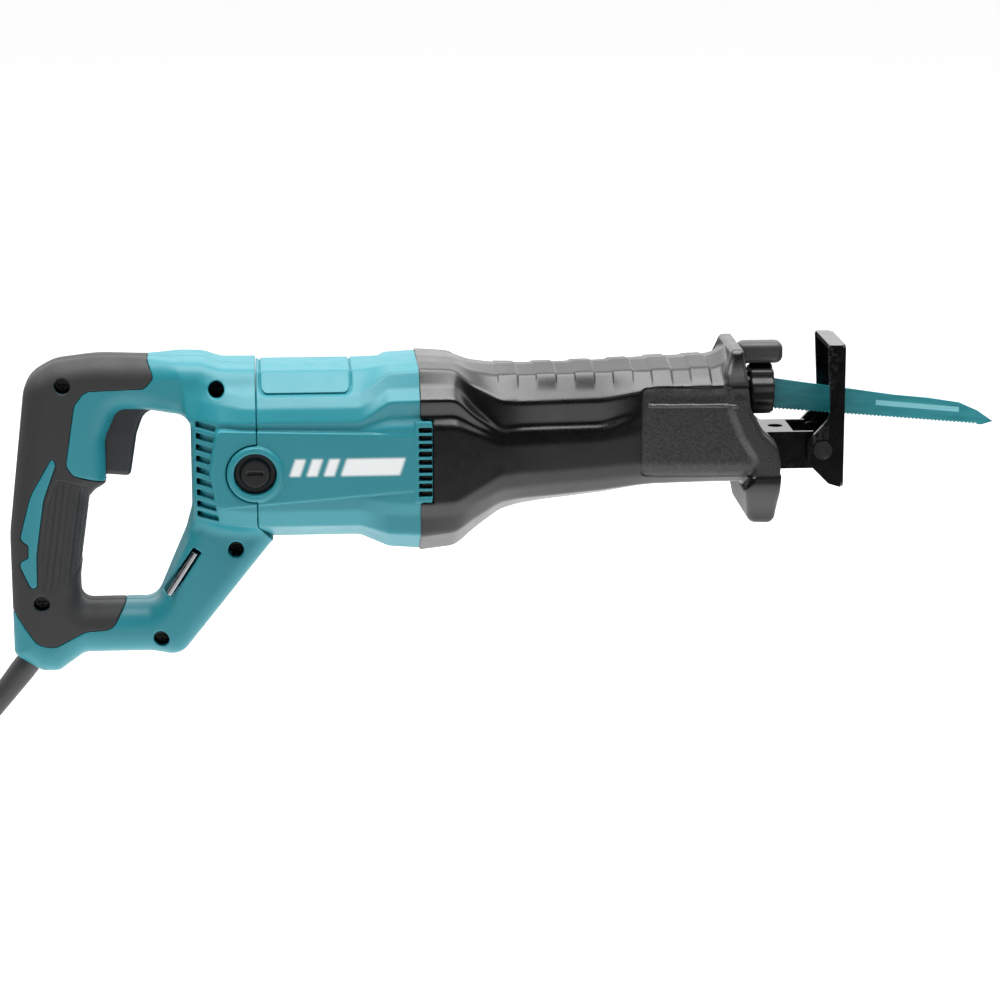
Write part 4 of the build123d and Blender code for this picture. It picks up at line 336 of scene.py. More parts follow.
def rounded_outline(corners, turn=math.radians(9.0)):
    """Points of a closed outline whose corners are arcs."""
    points = []
    count = len(corners)
    for i, (x, z, radius) in enumerate(corners):
        here = np.array((x, z))
        before = np.array(corners[i - 1][:2]) - here
        after = np.array(corners[(i + 1) % count][:2]) - here
        reach = (np.linalg.norm(before), np.linalg.norm(after))
        before, after = before / reach[0], after / reach[1]
        half = math.acos(float(np.clip(before @ after, -1.0, 1.0))) / 2
        if radius <= 0.0 or abs(half - math.pi / 2) < 1e-3:
            points.append(here)
            continue
        setback = min(radius / math.tan(half), 0.48 * min(reach))
        radius = setback * math.tan(half)
        middle = (before + after) / np.linalg.norm(before + after)
        centre = here + middle * radius / math.sin(half)
        start = here + before * setback - centre
        end = here + after * setback - centre
        sweep = math.atan2(start[0] * end[1] - start[1] * end[0], float(start @ end))
        steps = max(2, math.ceil(abs(sweep) / turn))
        for k in range(steps + 1):
            angle = sweep * k / steps
            c, s = math.cos(angle), math.sin(angle)
            points.append(centre + np.array((c * start[0] - s * start[1], s * start[0] + c * start[1])))
    return np.array(points)


def polygon_field(a, b, corners_a, corners_b, open_end=False):
    """Signed distance to a polygon. Its corners may change along the grid; its last edge may be open."""
    count = len(corners_a)
    nearest = None
    inside = None
    for i in range(count):
        j = (i + 1) % count
        ax, az = corners_a[i], corners_b[i]
        ex, ez = corners_a[j] - ax, corners_b[j] - az
        px, pz = a - ax, b - az
        if not (open_end and j == 0):
            along = np.clip((px * ex + pz * ez) / (ex * ex + ez * ez + 1e-9), 0.0, 1.0)
            square = (px - ex * along) ** 2 + (pz - ez * along) ** 2
            nearest = square if nearest is None else np.minimum(nearest, square)
        crosses = ((az > b) != (az + ez > b)) & (px < ex * pz / np.where(ez == 0, 1e-9, ez))
        inside = crosses if inside is None else inside ^ crosses
    return np.sqrt(nearest) * np.where(inside, -1.0, 1.0)


def outline_field(grid, corners):
    """Distance to an outline seen from the side, the same for every y."""
    points = rounded_outline(corners).astype(np.float32)
    return polygon_field(grid.x, grid.z, points[:, 0], points[:, 1]).astype(np.float32)


def soften(values, reach):
    """Rounds the changes of slope of a sampled line."""
    if reach < 1:
        return values
    padded = np.pad(values, (reach, reach), mode="edge")
    kernel = np.hanning(2 * reach + 3)[1:-1]
    return np.convolve(padded, kernel / kernel.sum(), mode="valid")


def section_field(grid, sections, rounding):
    """Distance to a body given by its cross sections along x, the same on both sides."""
    places = sorted(sections)
    x = grid.x.ravel()
    reach = int(rounding / grid.step)
    sides, heights = [], []
    for corner in range(len(sections[places[0]])):
        side = np.interp(x, places, [sections[p][corner][0] for p in places])
        height = np.interp(x, places, [sections[p][corner][1] for p in places])
        sides.append(soften(side, reach).astype(np.float32)[:, None, None])
        heights.append(soften(height, reach).astype(np.float32)[:, None, None])
    return polygon_field(grid.side, grid.z, sides, heights, open_end=True).astype(np.float32)


def extruded(outline, side, half, edge):
    """Outline carried out to a half width, its edges rounded."""
    d = outline + edge
    w = side - half + edge
    outside = np.sqrt(np.maximum(d, 0.0) ** 2 + np.maximum(w, 0.0) ** 2)
    return outside + np.minimum(np.maximum(d, w), 0.0) - edge


def box_field(grid, x, y, z, edge=0.0):
    """Box between pairs of limits; y limits are taken as distances from the middle plane."""
    parts = []
    for place, (start, end) in ((grid.x, x), (grid.side, y), (grid.z, z)):
        parts.append(np.abs(place - (start + end) / 2) - (end - start) / 2 + edge)
    outside = np.sqrt(sum(np.maximum(part, 0.0) ** 2 for part in parts))
    return outside + np.minimum(np.maximum(np.maximum(parts[0], parts[1]), parts[2]), 0.0) - edge


def around(middle, half):
    """Pair of limits round a middle."""
    return middle - half, middle + half


def round_y(grid, x, z, radius):
    return np.sqrt((grid.x - x) ** 2 + (grid.z - z) ** 2) - radius


def round_x(grid, radius, height=0.0):
    return np.sqrt(grid.y ** 2 + (grid.z - height) ** 2) - radius


def blurred(field, grid, width):
    """Rounds every edge of a field a little, as a mould does."""
    reach = max(1, int(round(2 * width / grid.step)))
    offsets = np.arange(-reach, reach + 1)
    weights = np.exp(-0.5 * (offsets * grid.step / width) ** 2)
    weights = (weights / weights.sum()).astype(np.float32)
    for axis in range(3):
        padded = np.pad(field, [(reach, reach) if k == axis else (0, 0) for k in range(3)], mode="edge")
        total = 0.0
        for offset, weight in zip(offsets, weights):
            span = slice(reach + offset, reach + offset + field.shape[axis])
            total = total + weight * padded[tuple(span if k == axis else slice(None) for k in range(3))]
        field = total
    return field


# ---- From a field to a mesh ----
CELL = [(i, j, k) for i in (0, 1) for j in (0, 1) for k in (0, 1)]
CELL_EDGES = [(a, b) for a in range(8) for b in range(a + 1, 8)
              if sum(abs(p - q) for p, q in zip(CELL[a], CELL[b])) == 1]


def new_object(name, data):
    thing = bpy.data.objects.new(name, data)
    bpy.context.scene.collection.objects.link(thing)
    return thing


def crossing_points(field):
    """One point for each cell that the surface crosses, and a map from cells to points."""
    inside = field < 0
    shape = tuple(n - 1 for n in field.shape)
    total = np.zeros(shape, np.int8)
    for i, j, k in CELL:
        total += inside[i:i + shape[0], j:j + shape[1], k:k + shape[2]]
    cells = np.argwhere((total > 0) & (total < 8))
    number = np.full(shape, -1, np.int32)
    number[tuple(cells.T)] = np.arange(len(cells))
    values = [field[tuple((cells + corner).T)] for corner in CELL]
    place = np.zeros((len(cells), 3))
    hits = np.zeros(len(cells))
    for a, b in CELL_EDGES:
        crossed = (values[a] < 0) != (values[b] < 0)
        t = np.where(crossed, values[a] / np.where(crossed, values[a] - values[b], 1.0), 0.0)
        step = np.subtract(CELL[b], CELL[a])
        place += crossed[:, None] * (np.array(CELL[a]) + t[:, None] * step)
        hits += crossed
    return cells + place / hits[:, None], number, inside


def crossing_quads(number, inside):
    """A quad round each grid edge that the surface crosses, facing outwards."""
    quads = []
    for axis in range(3):
        u, v = (axis + 1) % 3, (axis + 2) % 3
        ahead = np.roll(inside, -1, axis)
        edges = np.argwhere(inside != ahead)
        edges = edges[(edges[:, axis] < inside.shape[axis] - 1) & (edges[:, u] > 0) & (edges[:, v] > 0)]
        edges = edges[(edges[:, u] < inside.shape[u] - 1) & (edges[:, v] < inside.shape[v] - 1)]
        ring = []
        for du, dv in ((0, 0), (1, 0), (1, 1), (0, 1)):
            cell = edges.copy()
            cell[:, u] -= du
            cell[:, v] -= dv
            ring.append(number[tuple(cell.T)])
        quad = np.stack(ring, 1)
        leaving = inside[tuple(edges.T)]
        quad[~leaving] = quad[~leaving][:, ::-1]
        quads.append(quad)
    return np.concatenate(quads)


def sample(field, places):
    """Value and slope of a field between its grid points."""
    base = np.clip(np.floor(places).astype(int), 0, np.array(field.shape) - 2)
    t = places - base
    value = np.zeros(len(places))
    slope = np.zeros((len(places), 3))
    for corner in CELL:
        f = field[tuple((base + corner).T)].astype(float)
        w = [t[:, k] if corner[k] else 1.0 - t[:, k] for k in range(3)]
        sign = [1.0 if corner[k] else -1.0 for k in range(3)]
        value += f * w[0] * w[1] * w[2]
        slope[:, 0] += f * sign[0] * w[1] * w[2]
        slope[:, 1] += f * w[0] * sign[1] * w[2]
        slope[:, 2] += f * w[0] * w[1] * sign[2]
    return value, slope


def field_mesh(name, field, grid, marks):
    """Smooth mesh of a field's surface. Marks are named fields, stored on the vertices as 0 to 1."""
    field = np.ascontiguousarray(np.broadcast_to(field, (grid.x.size, grid.y.size, grid.z.size)), np.float32)
    places, number, inside = crossing_points(field)
    start = places.copy()
    for _ in range(3):
        value, slope = sample(field, places)
        length = (slope ** 2).sum(1) + 1e-9
        places = places - slope * (value / length)[:, None]
        places = start + np.clip(places - start, -0.6, 0.6)
    slope = sum(sample(field, places + shift)[1] for shift in np.vstack([np.eye(3), -np.eye(3)]) * 0.35)
    slope /= np.linalg.norm(slope, axis=1)[:, None] + 1e-9
    quads = crossing_quads(number, inside)
    mesh = bpy.data.meshes.new(name)
    mesh.vertices.add(len(places))
    mesh.vertices.foreach_set("co", ((grid.low + places * grid.step) * MM).astype(np.float32).ravel())
    mesh.loops.add(quads.size)
    mesh.loops.foreach_set("vertex_index", quads.astype(np.int32).ravel())
    mesh.polygons.add(len(quads))
    mesh.polygons.foreach_set("loop_start", np.arange(0, quads.size, 4, dtype=np.int32))
    mesh.update(calc_edges=True)
    mesh.polygons.foreach_set("use_smooth", np.ones(len(quads), bool))
    for label, mark in (marks or {}).items():
        full = np.broadcast_to(mark, field.shape)
        value = np.clip(sample(full, places)[0], 0.0, 1.0)
        mesh.attributes.new(label, "FLOAT", "POINT").data.foreach_set("value", value.astype(np.float32))
    mesh.normals_split_custom_set_from_vertices(slope)
    return new_object(name, mesh)


def build_piece(name, field, grid, body, material, node, marks=None):
    """Mesh of a field, on its body and in its finish, in place of the CAD node that it stands for."""
    piece = field_mesh(name, field, grid, marks)
    piece.data.materials.append(material)
    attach(piece, body)
    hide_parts(node)
    replaced_nodes.add(node)


# ---- Materials ----
class Nodes:
    """Short way to write a material's node tree."""

    def __init__(self, name):
        self.material = bpy.data.materials.new(name)
        self.material.use_nodes = True
        self.tree = self.material.node_tree
        self.shader = self.tree.nodes["Principled BSDF"]

    def add(self, kind, **settings):
        node = self.tree.nodes.new(kind)
        for key, value in settings.items():
            if key in node.inputs:
                self.feed(node.inputs[key], value)
            else:
                setattr(node, key, value)
        return node

    def feed(self, socket, value):
        if isinstance(value, bpy.types.NodeSocket):
            self.tree.links.new(value, socket)
        else:
            socket.default_value = value

    def place(self):
        return self.add("ShaderNodeTexCoord").outputs["Object"]

    def noise(self, size_mm, detail=3.0, stretch=(1.0, 1.0, 1.0)):
        scaled = self.add("ShaderNodeMapping", Vector=self.place(), Scale=stretch)
        node = self.add("ShaderNodeTexNoise", Vector=scaled.outputs[0], Detail=detail, Roughness=0.55)
        node.inputs["Scale"].default_value = 1000.0 / size_mm
        return node.outputs["Fac"]

    def math(self, operation, a, b):
        node = self.add("ShaderNodeMath", operation=operation)
        self.feed(node.inputs[0], a)
        self.feed(node.inputs[1], b)
        return node.outputs[0]

    def times(self, a, b):
        return self.math("MULTIPLY", a, b)

    def patches(self, size_mm, to_low, to_high, detail=3.0):
        """Noise that wanders between two values."""
        return self.remap(self.noise(size_mm, detail=detail), 0.3, 0.7, to_low, to_high)

    def remap(self, value, low, high, to_low, to_high):
        node = self.add("ShaderNodeMapRange", Value=value)
        for key, number in (("From Min", low), ("From Max", high), ("To Min", to_low), ("To Max", to_high)):
            node.inputs[key].default_value = number
        return node.outputs["Result"]

    def mix(self, factor, a, b):
        node = self.add("ShaderNodeMix", data_type="RGBA")
        self.feed(node.inputs[0], factor)
        self.feed(node.inputs[6], a)
        self.feed(node.inputs[7], b)
        return node.outputs[2]

    def attribute(self, name):
        return self.add("ShaderNodeAttribute", attribute_name=name).outputs["Fac"]

    def bump(self, height, distance_mm, strength=1.0, normal=None):
        node = self.add("ShaderNodeBump", Strength=strength, Distance=distance_mm * MM, Height=height)
        if normal is not None:
            self.tree.links.new(normal, node.inputs["Normal"])
        return node.outputs["Normal"]

    def edge_wear(self):
        """Near 1 on sharp outward edges."""
        point = self.add("ShaderNodeNewGeometry").outputs["Pointiness"]
        return self.remap(point, 0.52, 0.60, 0.0, 1.0)

    def finish(self, **inputs):
        for key, value in inputs.items():
            self.feed(self.shader.inputs[key.replace("_", " ")], value)
        return self.material


def shade(colour, factor):
    return tuple(min(1.0, c * factor) for c in colour[:3]) + (1.0,)


def moulded(name, colour, roughness, grain_mm=0.55, grain_depth=0.03, wear=0.25, spread=0.05):
    """Injection-moulded plastic or rubber: fine spark-eroded grain, faint flow marks and rubbed edges."""
    nodes = Nodes(name)
    grain = nodes.noise(grain_mm, detail=4.0)
    cloud = nodes.patches(38.0, 0.0, 1.0)
    base = nodes.mix(cloud, shade(colour, 1 - spread), shade(colour, 1 + spread))
    speck = nodes.times(nodes.remap(grain, 0.62, 0.75, 0.0, 1.0), 0.18)
    base = nodes.mix(speck, base, shade(colour, 1.5))
    worn = nodes.times(nodes.edge_wear(), nodes.remap(nodes.noise(6.0), 0.4, 0.65, 0.0, wear))
    base = nodes.mix(worn, base, shade(colour, 1.9))
    rough = nodes.remap(nodes.noise(9.0, detail=5.0), 0.25, 0.75, roughness - 0.05, roughness + 0.06)
    return nodes, base, rough, nodes.bump(grain, grain_depth, 0.6)


def plastic(name, colour, roughness=0.45, gloss=0.5, **kind):
    nodes, base, rough, normal = moulded(name, colour, roughness, **kind)
    return nodes.finish(Base_Color=base, Roughness=rough, Normal=normal, Specular_IOR_Level=gloss)


def teal_plastic(name, marked=False):
    """The shell's plastic. The motor housing also carries a plain printed graphic on both sides."""
    nodes, base, rough, normal = moulded(name, TEAL, 0.42, grain_mm=0.6, grain_depth=0.02, spread=0.03)
    if marked:
        base = nodes.mix(nodes.attribute("print"), base, PRINT_WHITE)
    return nodes.finish(Base_Color=base, Roughness=rough, Normal=normal)


def boot_elastomer(name):
    """Semi-gloss rubber of the front boot; the side panels of its nose are matt and finely pitted."""
    nodes, base, rough, normal = moulded(name, BOOT_BLACK, 0.27, grain_mm=0.6, wear=0.08, spread=0.1)
    panel = nodes.attribute("panel")
    pits = nodes.noise(1.1, detail=4.0)
    base = nodes.mix(nodes.times(panel, nodes.remap(pits, 0.4, 0.62, 0.3, 1.0)), base, PANEL_GREY)
    rough = nodes.math("ADD", rough, nodes.times(panel, 0.14))
    normal = nodes.bump(nodes.times(pits, panel), 0.12, 0.7, normal)
    return nodes.finish(Base_Color=base, Roughness=rough, Normal=normal, Specular_IOR_Level=0.7)


def metal(name, colour, roughness=0.3, brush=(1.0, 1.0, 1.0), grain_mm=0.8, grain_depth=0.008):
    """Metal with fine machining lines, stains and brighter rubbed edges."""
    nodes = Nodes(name)
    lines = nodes.noise(grain_mm, detail=4.0, stretch=brush)
    stain = nodes.patches(12.0, 0.0, 1.0, detail=4.0)
    base = nodes.mix(stain, shade(colour, 0.85), shade(colour, 1.08))
    base = nodes.mix(nodes.times(nodes.edge_wear(), 0.5), base, shade(colour, 1.5))
    rough = nodes.patches(5.0, roughness - 0.07, roughness + 0.1)
    normal = nodes.bump(lines, grain_depth, 0.5)
    return nodes.finish(Base_Color=base, Roughness=rough, Metallic=1.0, Normal=normal)


def painted_steel(name, colour, roughness, wear=0.5):
    """Black coating over steel, rubbed through a little along its edges."""
    nodes = Nodes(name)
    cloud = nodes.patches(10.0, 0.0, 1.0, detail=4.0)
    base = nodes.mix(cloud, shade(colour, 0.85), shade(colour, 1.15))
    rubbed = nodes.times(nodes.edge_wear(), nodes.remap(nodes.noise(2.5), 0.45, 0.6, 0.0, wear))
    base = nodes.mix(rubbed, base, RUBBED_STEEL)
    rough = nodes.patches(9.0, roughness - 0.03, roughness + 0.05, detail=2.0)
    return nodes.finish(
        Base_Color=base, Roughness=rough, Metallic=nodes.times(rubbed, 0.9),
        Normal=nodes.bump(nodes.noise(1.2), 0.004, 0.4), Specular_IOR_Level=0.35,
    )


def blade_paint(name):
    """Painted blade: bare ground teeth, a plain lighter stripe and scuffs along the cut."""
    nodes = Nodes(name)
    place = nodes.add("ShaderNodeSeparateXYZ", Vector=nodes.place()).outputs
    fall_x, slope = BLADE_FALL
    fall = nodes.times(nodes.math("SUBTRACT", place["X"], fall_x), slope)
    height = nodes.math("ADD", place["Z"], fall)
    scuff = nodes.noise(2.0, detail=5.0, stretch=(0.15, 1.0, 1.0))
    base = nodes.mix(nodes.remap(scuff, 0.35, 0.7, 0.0, 1.0), BLADE_DARK, BLADE_LIGHT)
    start, end, stripe_z, half = BLADE_STRIPE
    band = nodes.math("COMPARE", height, stripe_z)
    band.node.inputs[2].default_value = half
    ahead = nodes.math("GREATER_THAN", place["X"], start)
    stretch = nodes.times(ahead, nodes.math("LESS_THAN", place["X"], end))
    stripe = nodes.times(nodes.times(band, stretch), 0.75)
    base = nodes.mix(stripe, base, STRIPE_TEAL)
    ragged = nodes.math("ADD", height, nodes.times(nodes.math("SUBTRACT", scuff, 0.5), 0.003))
    bare = nodes.remap(ragged, *BLADE_BARE_Z, 1.0, 0.0)
    base = nodes.mix(bare, base, BARE_STEEL)
    grinding = nodes.noise(0.6, stretch=(0.1, 1.0, 1.0))
    return nodes.finish(
        Base_Color=base, Roughness=nodes.remap(scuff, 0.3, 0.7, 0.28, 0.42),
        Metallic=nodes.times(bare, 0.9), Normal=nodes.bump(grinding, 0.01, 0.5),
    )


def wound_wire(name, colour, axis_stretch):
    """Varnished copper winding: fine parallel wires."""
    nodes = Nodes(name)
    wires = nodes.noise(0.6, detail=1.0, stretch=axis_stretch)
    base = nodes.mix(nodes.remap(wires, 0.4, 0.6, 0.0, 1.0), shade(colour, 0.55), shade(colour, 1.15))
    return nodes.finish(
        Base_Color=base, Roughness=nodes.patches(3.0, 0.25, 0.4), Metallic=0.85,
        Normal=nodes.bump(wires, 0.12, 0.8),
    )


teal = teal_plastic("teal shell")
teal_marked = teal_plastic("teal shell printed", marked=True)
grip_rubber = plastic("soft grip", GRIP_GREY, 0.62, grain_mm=0.5, grain_depth=0.05, wear=0.1)
boot_rubber = boot_elastomer("boot elastomer")
black_plastic = plastic("black plastic", BLACK, 0.38, wear=0.2)
cap_plastic = plastic("brush cap plastic", CAP_BLACK, 0.42, wear=0.3)
trigger_plastic = plastic("trigger plastic", TRIGGER_GREY, 0.4, wear=0.2)
lever_plastic = plastic("lever plastic", LEVER_GREY, 0.42, wear=0.2)
worn_pin = painted_steel("rubbed pin", PIN_BLACK, 0.34)
pale_plastic = plastic("pale plastic", (0.50, 0.48, 0.41, 1.0), 0.45)
FINISHES = {
    "teal_shell": teal,
    "soft_grip": grip_rubber,
    "boot_elastomer": boot_rubber,
    "black_plastic": black_plastic,
    "pale_plastic": pale_plastic,
    "capacitor_film": plastic("capacitor film", (0.52, 0.36, 0.06), 0.2, wear=0.1),
    "lead_insulation": plastic("lead insulation", (0.03, 0.08, 0.28), 0.3),
    "cord_rubber": plastic("cord rubber", (0.045, 0.045, 0.046), 0.5, grain_mm=0.9, grain_depth=0.04),
    "copper": wound_wire("copper", (0.72, 0.30, 0.14), (0.12, 1.0, 1.0)),
    "brass_fitting": metal("brass", (0.68, 0.50, 0.20), 0.28, brush=(1.0, 0.2, 1.0)),
    "carbon": plastic("carbon", (0.035, 0.035, 0.036), 0.6, grain_mm=0.3, grain_depth=0.04),
    "spring_steel": metal("spring steel", (0.48, 0.48, 0.50), 0.25),
    # Painted shade: the screws are coloured near black so the deep screw wells in the handle read black
    "zinc_screws": painted_steel("screws darkened for well shade", (0.022, 0.022, 0.024), 0.35),
    "lamination_steel": metal(
        "laminations", (0.30, 0.30, 0.32), 0.4, brush=(1.6, 0.05, 0.05), grain_depth=0.05),
    "ground_steel": metal("ground steel", (0.55, 0.55, 0.57), 0.22, brush=(0.2, 1.0, 1.0)),
    "cast_aluminium": metal("cast aluminium", (0.52, 0.53, 0.54), 0.5, grain_mm=0.5, grain_depth=0.06),
    "sintered_bronze": metal("sintered bronze", (0.42, 0.27, 0.12), 0.5, grain_mm=0.4, grain_depth=0.04),
    "seal_rubber": plastic("seal rubber", (0.02, 0.02, 0.02), 0.55),
    "black_steel": painted_steel("black steel", (0.003, 0.003, 0.0032), 0.16, wear=0.25),
    "blade_paint": blade_paint("blade paint"),
}


# ---- Handle ----
def handle_field(grid):
    """Outer form of the whole handle, both halves together."""
    outline = outline_field(grid, HANDLE_CORNERS)
    hand_hole = outline_field(grid, HAND_HOLE_CORNERS)
    shoulder = smooth_step(grid.x, *SHOULDER_X)
    half = GRIP_HALF + (SHOULDER_HALF - GRIP_HALF) * shoulder
    edge = GRIP_EDGE + (SHOULDER_EDGE - GRIP_EDGE) * shoulder
    bars = extruded(cut(outline, hand_hole), grid.side, half, edge)
    barrel = section_field(grid, HOUSING_SECTIONS, 3.0)
    barrel = overlap(barrel, outline + 0.3, 3.0)
    barrel = overlap(barrel, SHOULDER_X[1] - grid.x)
    barrel = cut(barrel, hand_hole, 4.0)
    return blurred(join(bars, barrel, 5.0), grid, 0.8)


def side_panel(grid):
    """Raised panel on each side of the motor, its top and bottom lines closing in towards the front."""
    rear_x, rear_top, rear_foot = PANEL_REAR
    front_x, front_top, front_foot = PANEL_FRONT
    slope_top = (front_top - rear_top) / (front_x - rear_x)
    slope_foot = (front_foot - rear_foot) / (front_x - rear_x)
    top = grid.z - (rear_top + slope_top * (grid.x - rear_x))
    foot = rear_foot + slope_foot * (grid.x - rear_x) - grid.z
    rear = PANEL_REAR_X - grid.x + PANEL_LEAN * np.abs(grid.z - REAR_SLOTS_Z)
    return overlap(overlap(overlap(top, foot), rear, 3.0), grid.side - PANEL_HALF, 1.2)


def screw_wells(grid):
    """Sunk screw holes in the handle's right side."""
    return union(common(round_y(grid, x, z, SCREW_WELL_R), grid.y + depth) for x, z, depth in HANDLE_SCREWS)


def slot_heights(middle, pitch):
    """Heights of a column of cooling slots."""
    return [middle + pitch * (k - (SLOT_COUNT - 1) / 2) for k in range(SLOT_COUNT)]


def rear_slots(grid, outer):
    """Blind cooling slots beside the hand hole; their front ends follow the side panel's rear edge."""
    rear, pitch, height, depth = REAR_SLOT
    front = PANEL_REAR_X - 0.7 + PANEL_LEAN * np.abs(grid.z - REAR_SLOTS_Z)
    lifted = grid.z + REAR_SLOT_SLOPE * (grid.x - rear)
    slots = union(np.abs(lifted - z) - height / 2 for z in slot_heights(REAR_SLOTS_Z, pitch))
    return common(slots, rear - grid.x, grid.x - front, -outer - depth, 24.0 - grid.side)


def trigger_window(grid, edge):
    x, z, half_x, half_z, half_y = TRIGGER_WINDOW
    return box_field(grid, around(x, half_x), (-half_y, half_y), around(z, half_z), edge)


def handle_shell(grid, outer, covered):
    """Shell of the handle with its openings; covered is where the soft grip lies over it."""
    body = cut(outer, overlap(covered, -(outer + SKIN)))
    solid_wall = box_field(grid, (-158.0, -138.0), (24.0, 60.0), around(REAR_SLOTS_Z, 30.0))
    body = cut(body, cut(outer + HANDLE_WALL, solid_wall))
    bore_r, bore_rear = HANDLE_BORE
    body = cut(body, common(round_x(grid, bore_r, MOTOR_Z), bore_rear - grid.x))
    body = cut(body, round_y(grid, BRUSH_X, MOTOR_Z, BRUSH_RING_R + 0.5), 0.8)
    body = cut(body, trigger_window(grid, 1.0))
    body = cut(body, -outline_field(grid, SEAM_CORNERS))
    return cut(body, rear_slots(grid, outer), 0.4)


def cord_tunnel(grid):
    """Bore for the cord and its guard, ending inside the handle."""
    dx, dz = -math.cos(CORD_ANGLE), -math.sin(CORD_ANGLE)
    px, pz = grid.x - CORD_EXIT[0], grid.z - CORD_EXIT[1]
    across = px * dz - pz * dx
    along = px * dx + pz * dz
    return common(np.sqrt(across ** 2 + grid.y ** 2) - CORD_BORE_R, -CORD_BORE_DEPTH - along)


def hex_key_recess(grid):
    """Slot across the front edge of the lower arm, where the hex key is clipped."""
    px, pz = grid.x - KEY_CENTRE[0], grid.z - KEY_CENTRE[1]
    along = px * KEY_DIRECTION[0] + pz * KEY_DIRECTION[1]
    across = px * KEY_DIRECTION[1] - pz * KEY_DIRECTION[0]
    half_length, half_height, deepest = KEY_RECESS
    return common(np.abs(along) - half_length, np.abs(across) - half_height, grid.y + deepest)


def grip_relief(grid, pad):
    """How far the grip's surface lies back: pleats inside the pad's outline and a groove along it."""
    lean = grid.x - PLEAT_LEAN * grid.z
    pleat = 0.5 + 0.5 * np.cos(2 * math.pi * lean / PLEAT_PITCH)
    groove = np.clip(1.0 - np.abs(pad), 0.0, 1.0)
    return 0.7 * groove + smooth_step(-pad, 0.2, 1.6) * (0.25 + 0.7 * pleat ** 2)


def handle_grip(grid, outer, covered):
    """Soft grip that lies over the shell's sunk area, with room for the trigger."""
    surface = outer + grip_relief(grid, outline_field(grid, PAD_CORNERS))
    body = overlap(overlap(surface, -(outer + GRIP_DEPTH)), covered + 0.15, 0.7)
    return cut(body, trigger_window(grid, 0.0))


def build_handle():
    grid = Grid((-256, -48.5, -151), (-108, 48.5, 25))
    panel = overlap(overlap(side_panel(grid), grid.x - SEAM_X), 38.0 - grid.side)
    panel = cut(panel, outline_field(grid, HAND_HOLE_CORNERS), 3.0)
    outer = join(handle_field(grid), panel, 0.6)
    covered = cut(outline_field(grid, GRIP_CORNERS), outline_field(grid, SLIVER_CORNERS))
    shell = cut(handle_shell(grid, outer, covered), cord_tunnel(grid), 0.8)
    grip = handle_grip(grid, outer, covered)
    button = common(round_y(grid, *LOCK_BUTTON), -grid.y)
    wells = screw_wells(grid)
    for side, name in ((-1.0, "right"), (1.0, "left")):
        beyond = -side * grid.y + 0.05
        half = overlap(shell, beyond)
        soft = overlap(grip, beyond)
        if name == "right":
            half = cut(cut(half, wells, 0.6), hex_key_recess(grid), 0.6)
            soft = cut(soft, wells, 0.6)
        else:
            half = cut(half, button - 0.2)
            soft = cut(soft, button + 0.4, 0.5)
        build_piece("handle_shell_" + name, half, grid, "housing", teal, "handle_half_" + name)
        build_piece("handle_grip_" + name, soft, grid, "housing", grip_rubber, "grip_" + name)


def build_trigger():
    grid = Grid((-205, -14.2, -43), (-171, 14.2, 10), GRID_STEP * 0.7)
    outline = outline_field(grid, TRIGGER_CORNERS)
    body = blurred(extruded(outline, grid.side, TRIGGER_HALF, 2.6), grid, 0.6)
    stub_r, stub_half = TRIGGER_STUB
    stubs = common(round_y(grid, *TRIGGER_PIVOT, stub_r), grid.side - stub_half)
    body = cut(join(body, stubs, 0.5), box_field(grid, *TRIGGER_HOLLOW, 1.5), 0.6)
    build_piece("trigger_blade", body, grid, "trigger", trigger_plastic, "trigger")


# ---- Motor housing ----
def label_groove(grid):
    """Closed groove round the label field on top of the housing, as a depth."""
    middle = (LABEL_REAR_X + LABEL_FRONT_X) / 2
    half = (LABEL_FRONT_X - LABEL_REAR_X) / 2
    px = np.abs(grid.x - middle) - half + LABEL_CORNER
    pz = LABEL_FOOT_Z - grid.z + LABEL_CORNER
    corner = np.sqrt(np.maximum(px, 0.0) ** 2 + np.maximum(pz, 0.0) ** 2)
    outline = corner + np.minimum(np.maximum(px, pz), 0.0) - LABEL_CORNER
    width, depth = LABEL_GROOVE
    return depth * np.clip(1.0 - np.abs(outline) / width, 0.0, 1.0)


def side_print(grid):
    """Plain graphic on the side panel: slanted bars that run out into a stripe."""
    lean = grid.x - PRINT_LEAN * (grid.z - MOTOR_Z)
    bars = union(np.abs(lean - start - length / 2) - length / 2 for start, length in PRINT_BARS)
    mark = common(bars, np.abs(grid.z - PRINT_Z) - PRINT_HALF, PRINT_SIDE - grid.side)
    return smooth_step(-mark, -0.35, 0.35)


def housing_form(grid):
    """Outer form of the motor housing, with its side panels, brush bosses and slotted tongues."""
    form = blurred(section_field(grid, HOUSING_SECTIONS, 2.0), grid, 0.9)
    form = join(form, side_panel(grid), 0.6) + label_groove(grid)
    form = overlap(form, 0.25 - outline_field(grid, SEAM_CORNERS), 0.9)
    form = overlap(form, grid.x - MOTOR_FRONT_X, 0.9)
    boss = overlap(round_y(grid, BRUSH_X, MOTOR_Z, BRUSH_RING_R), grid.side - BRUSH_RING_HALF, 2.4)
    form = join(form, common(boss, 30.0 - grid.side), 0.4)
    tongue = box_field(grid, (MOTOR_FRONT_X - 4.0, TONGUE_X), TONGUE_SIDE, around(SLOTS_Z, TONGUE_HALF), 0.6)
    return join(form, tongue)


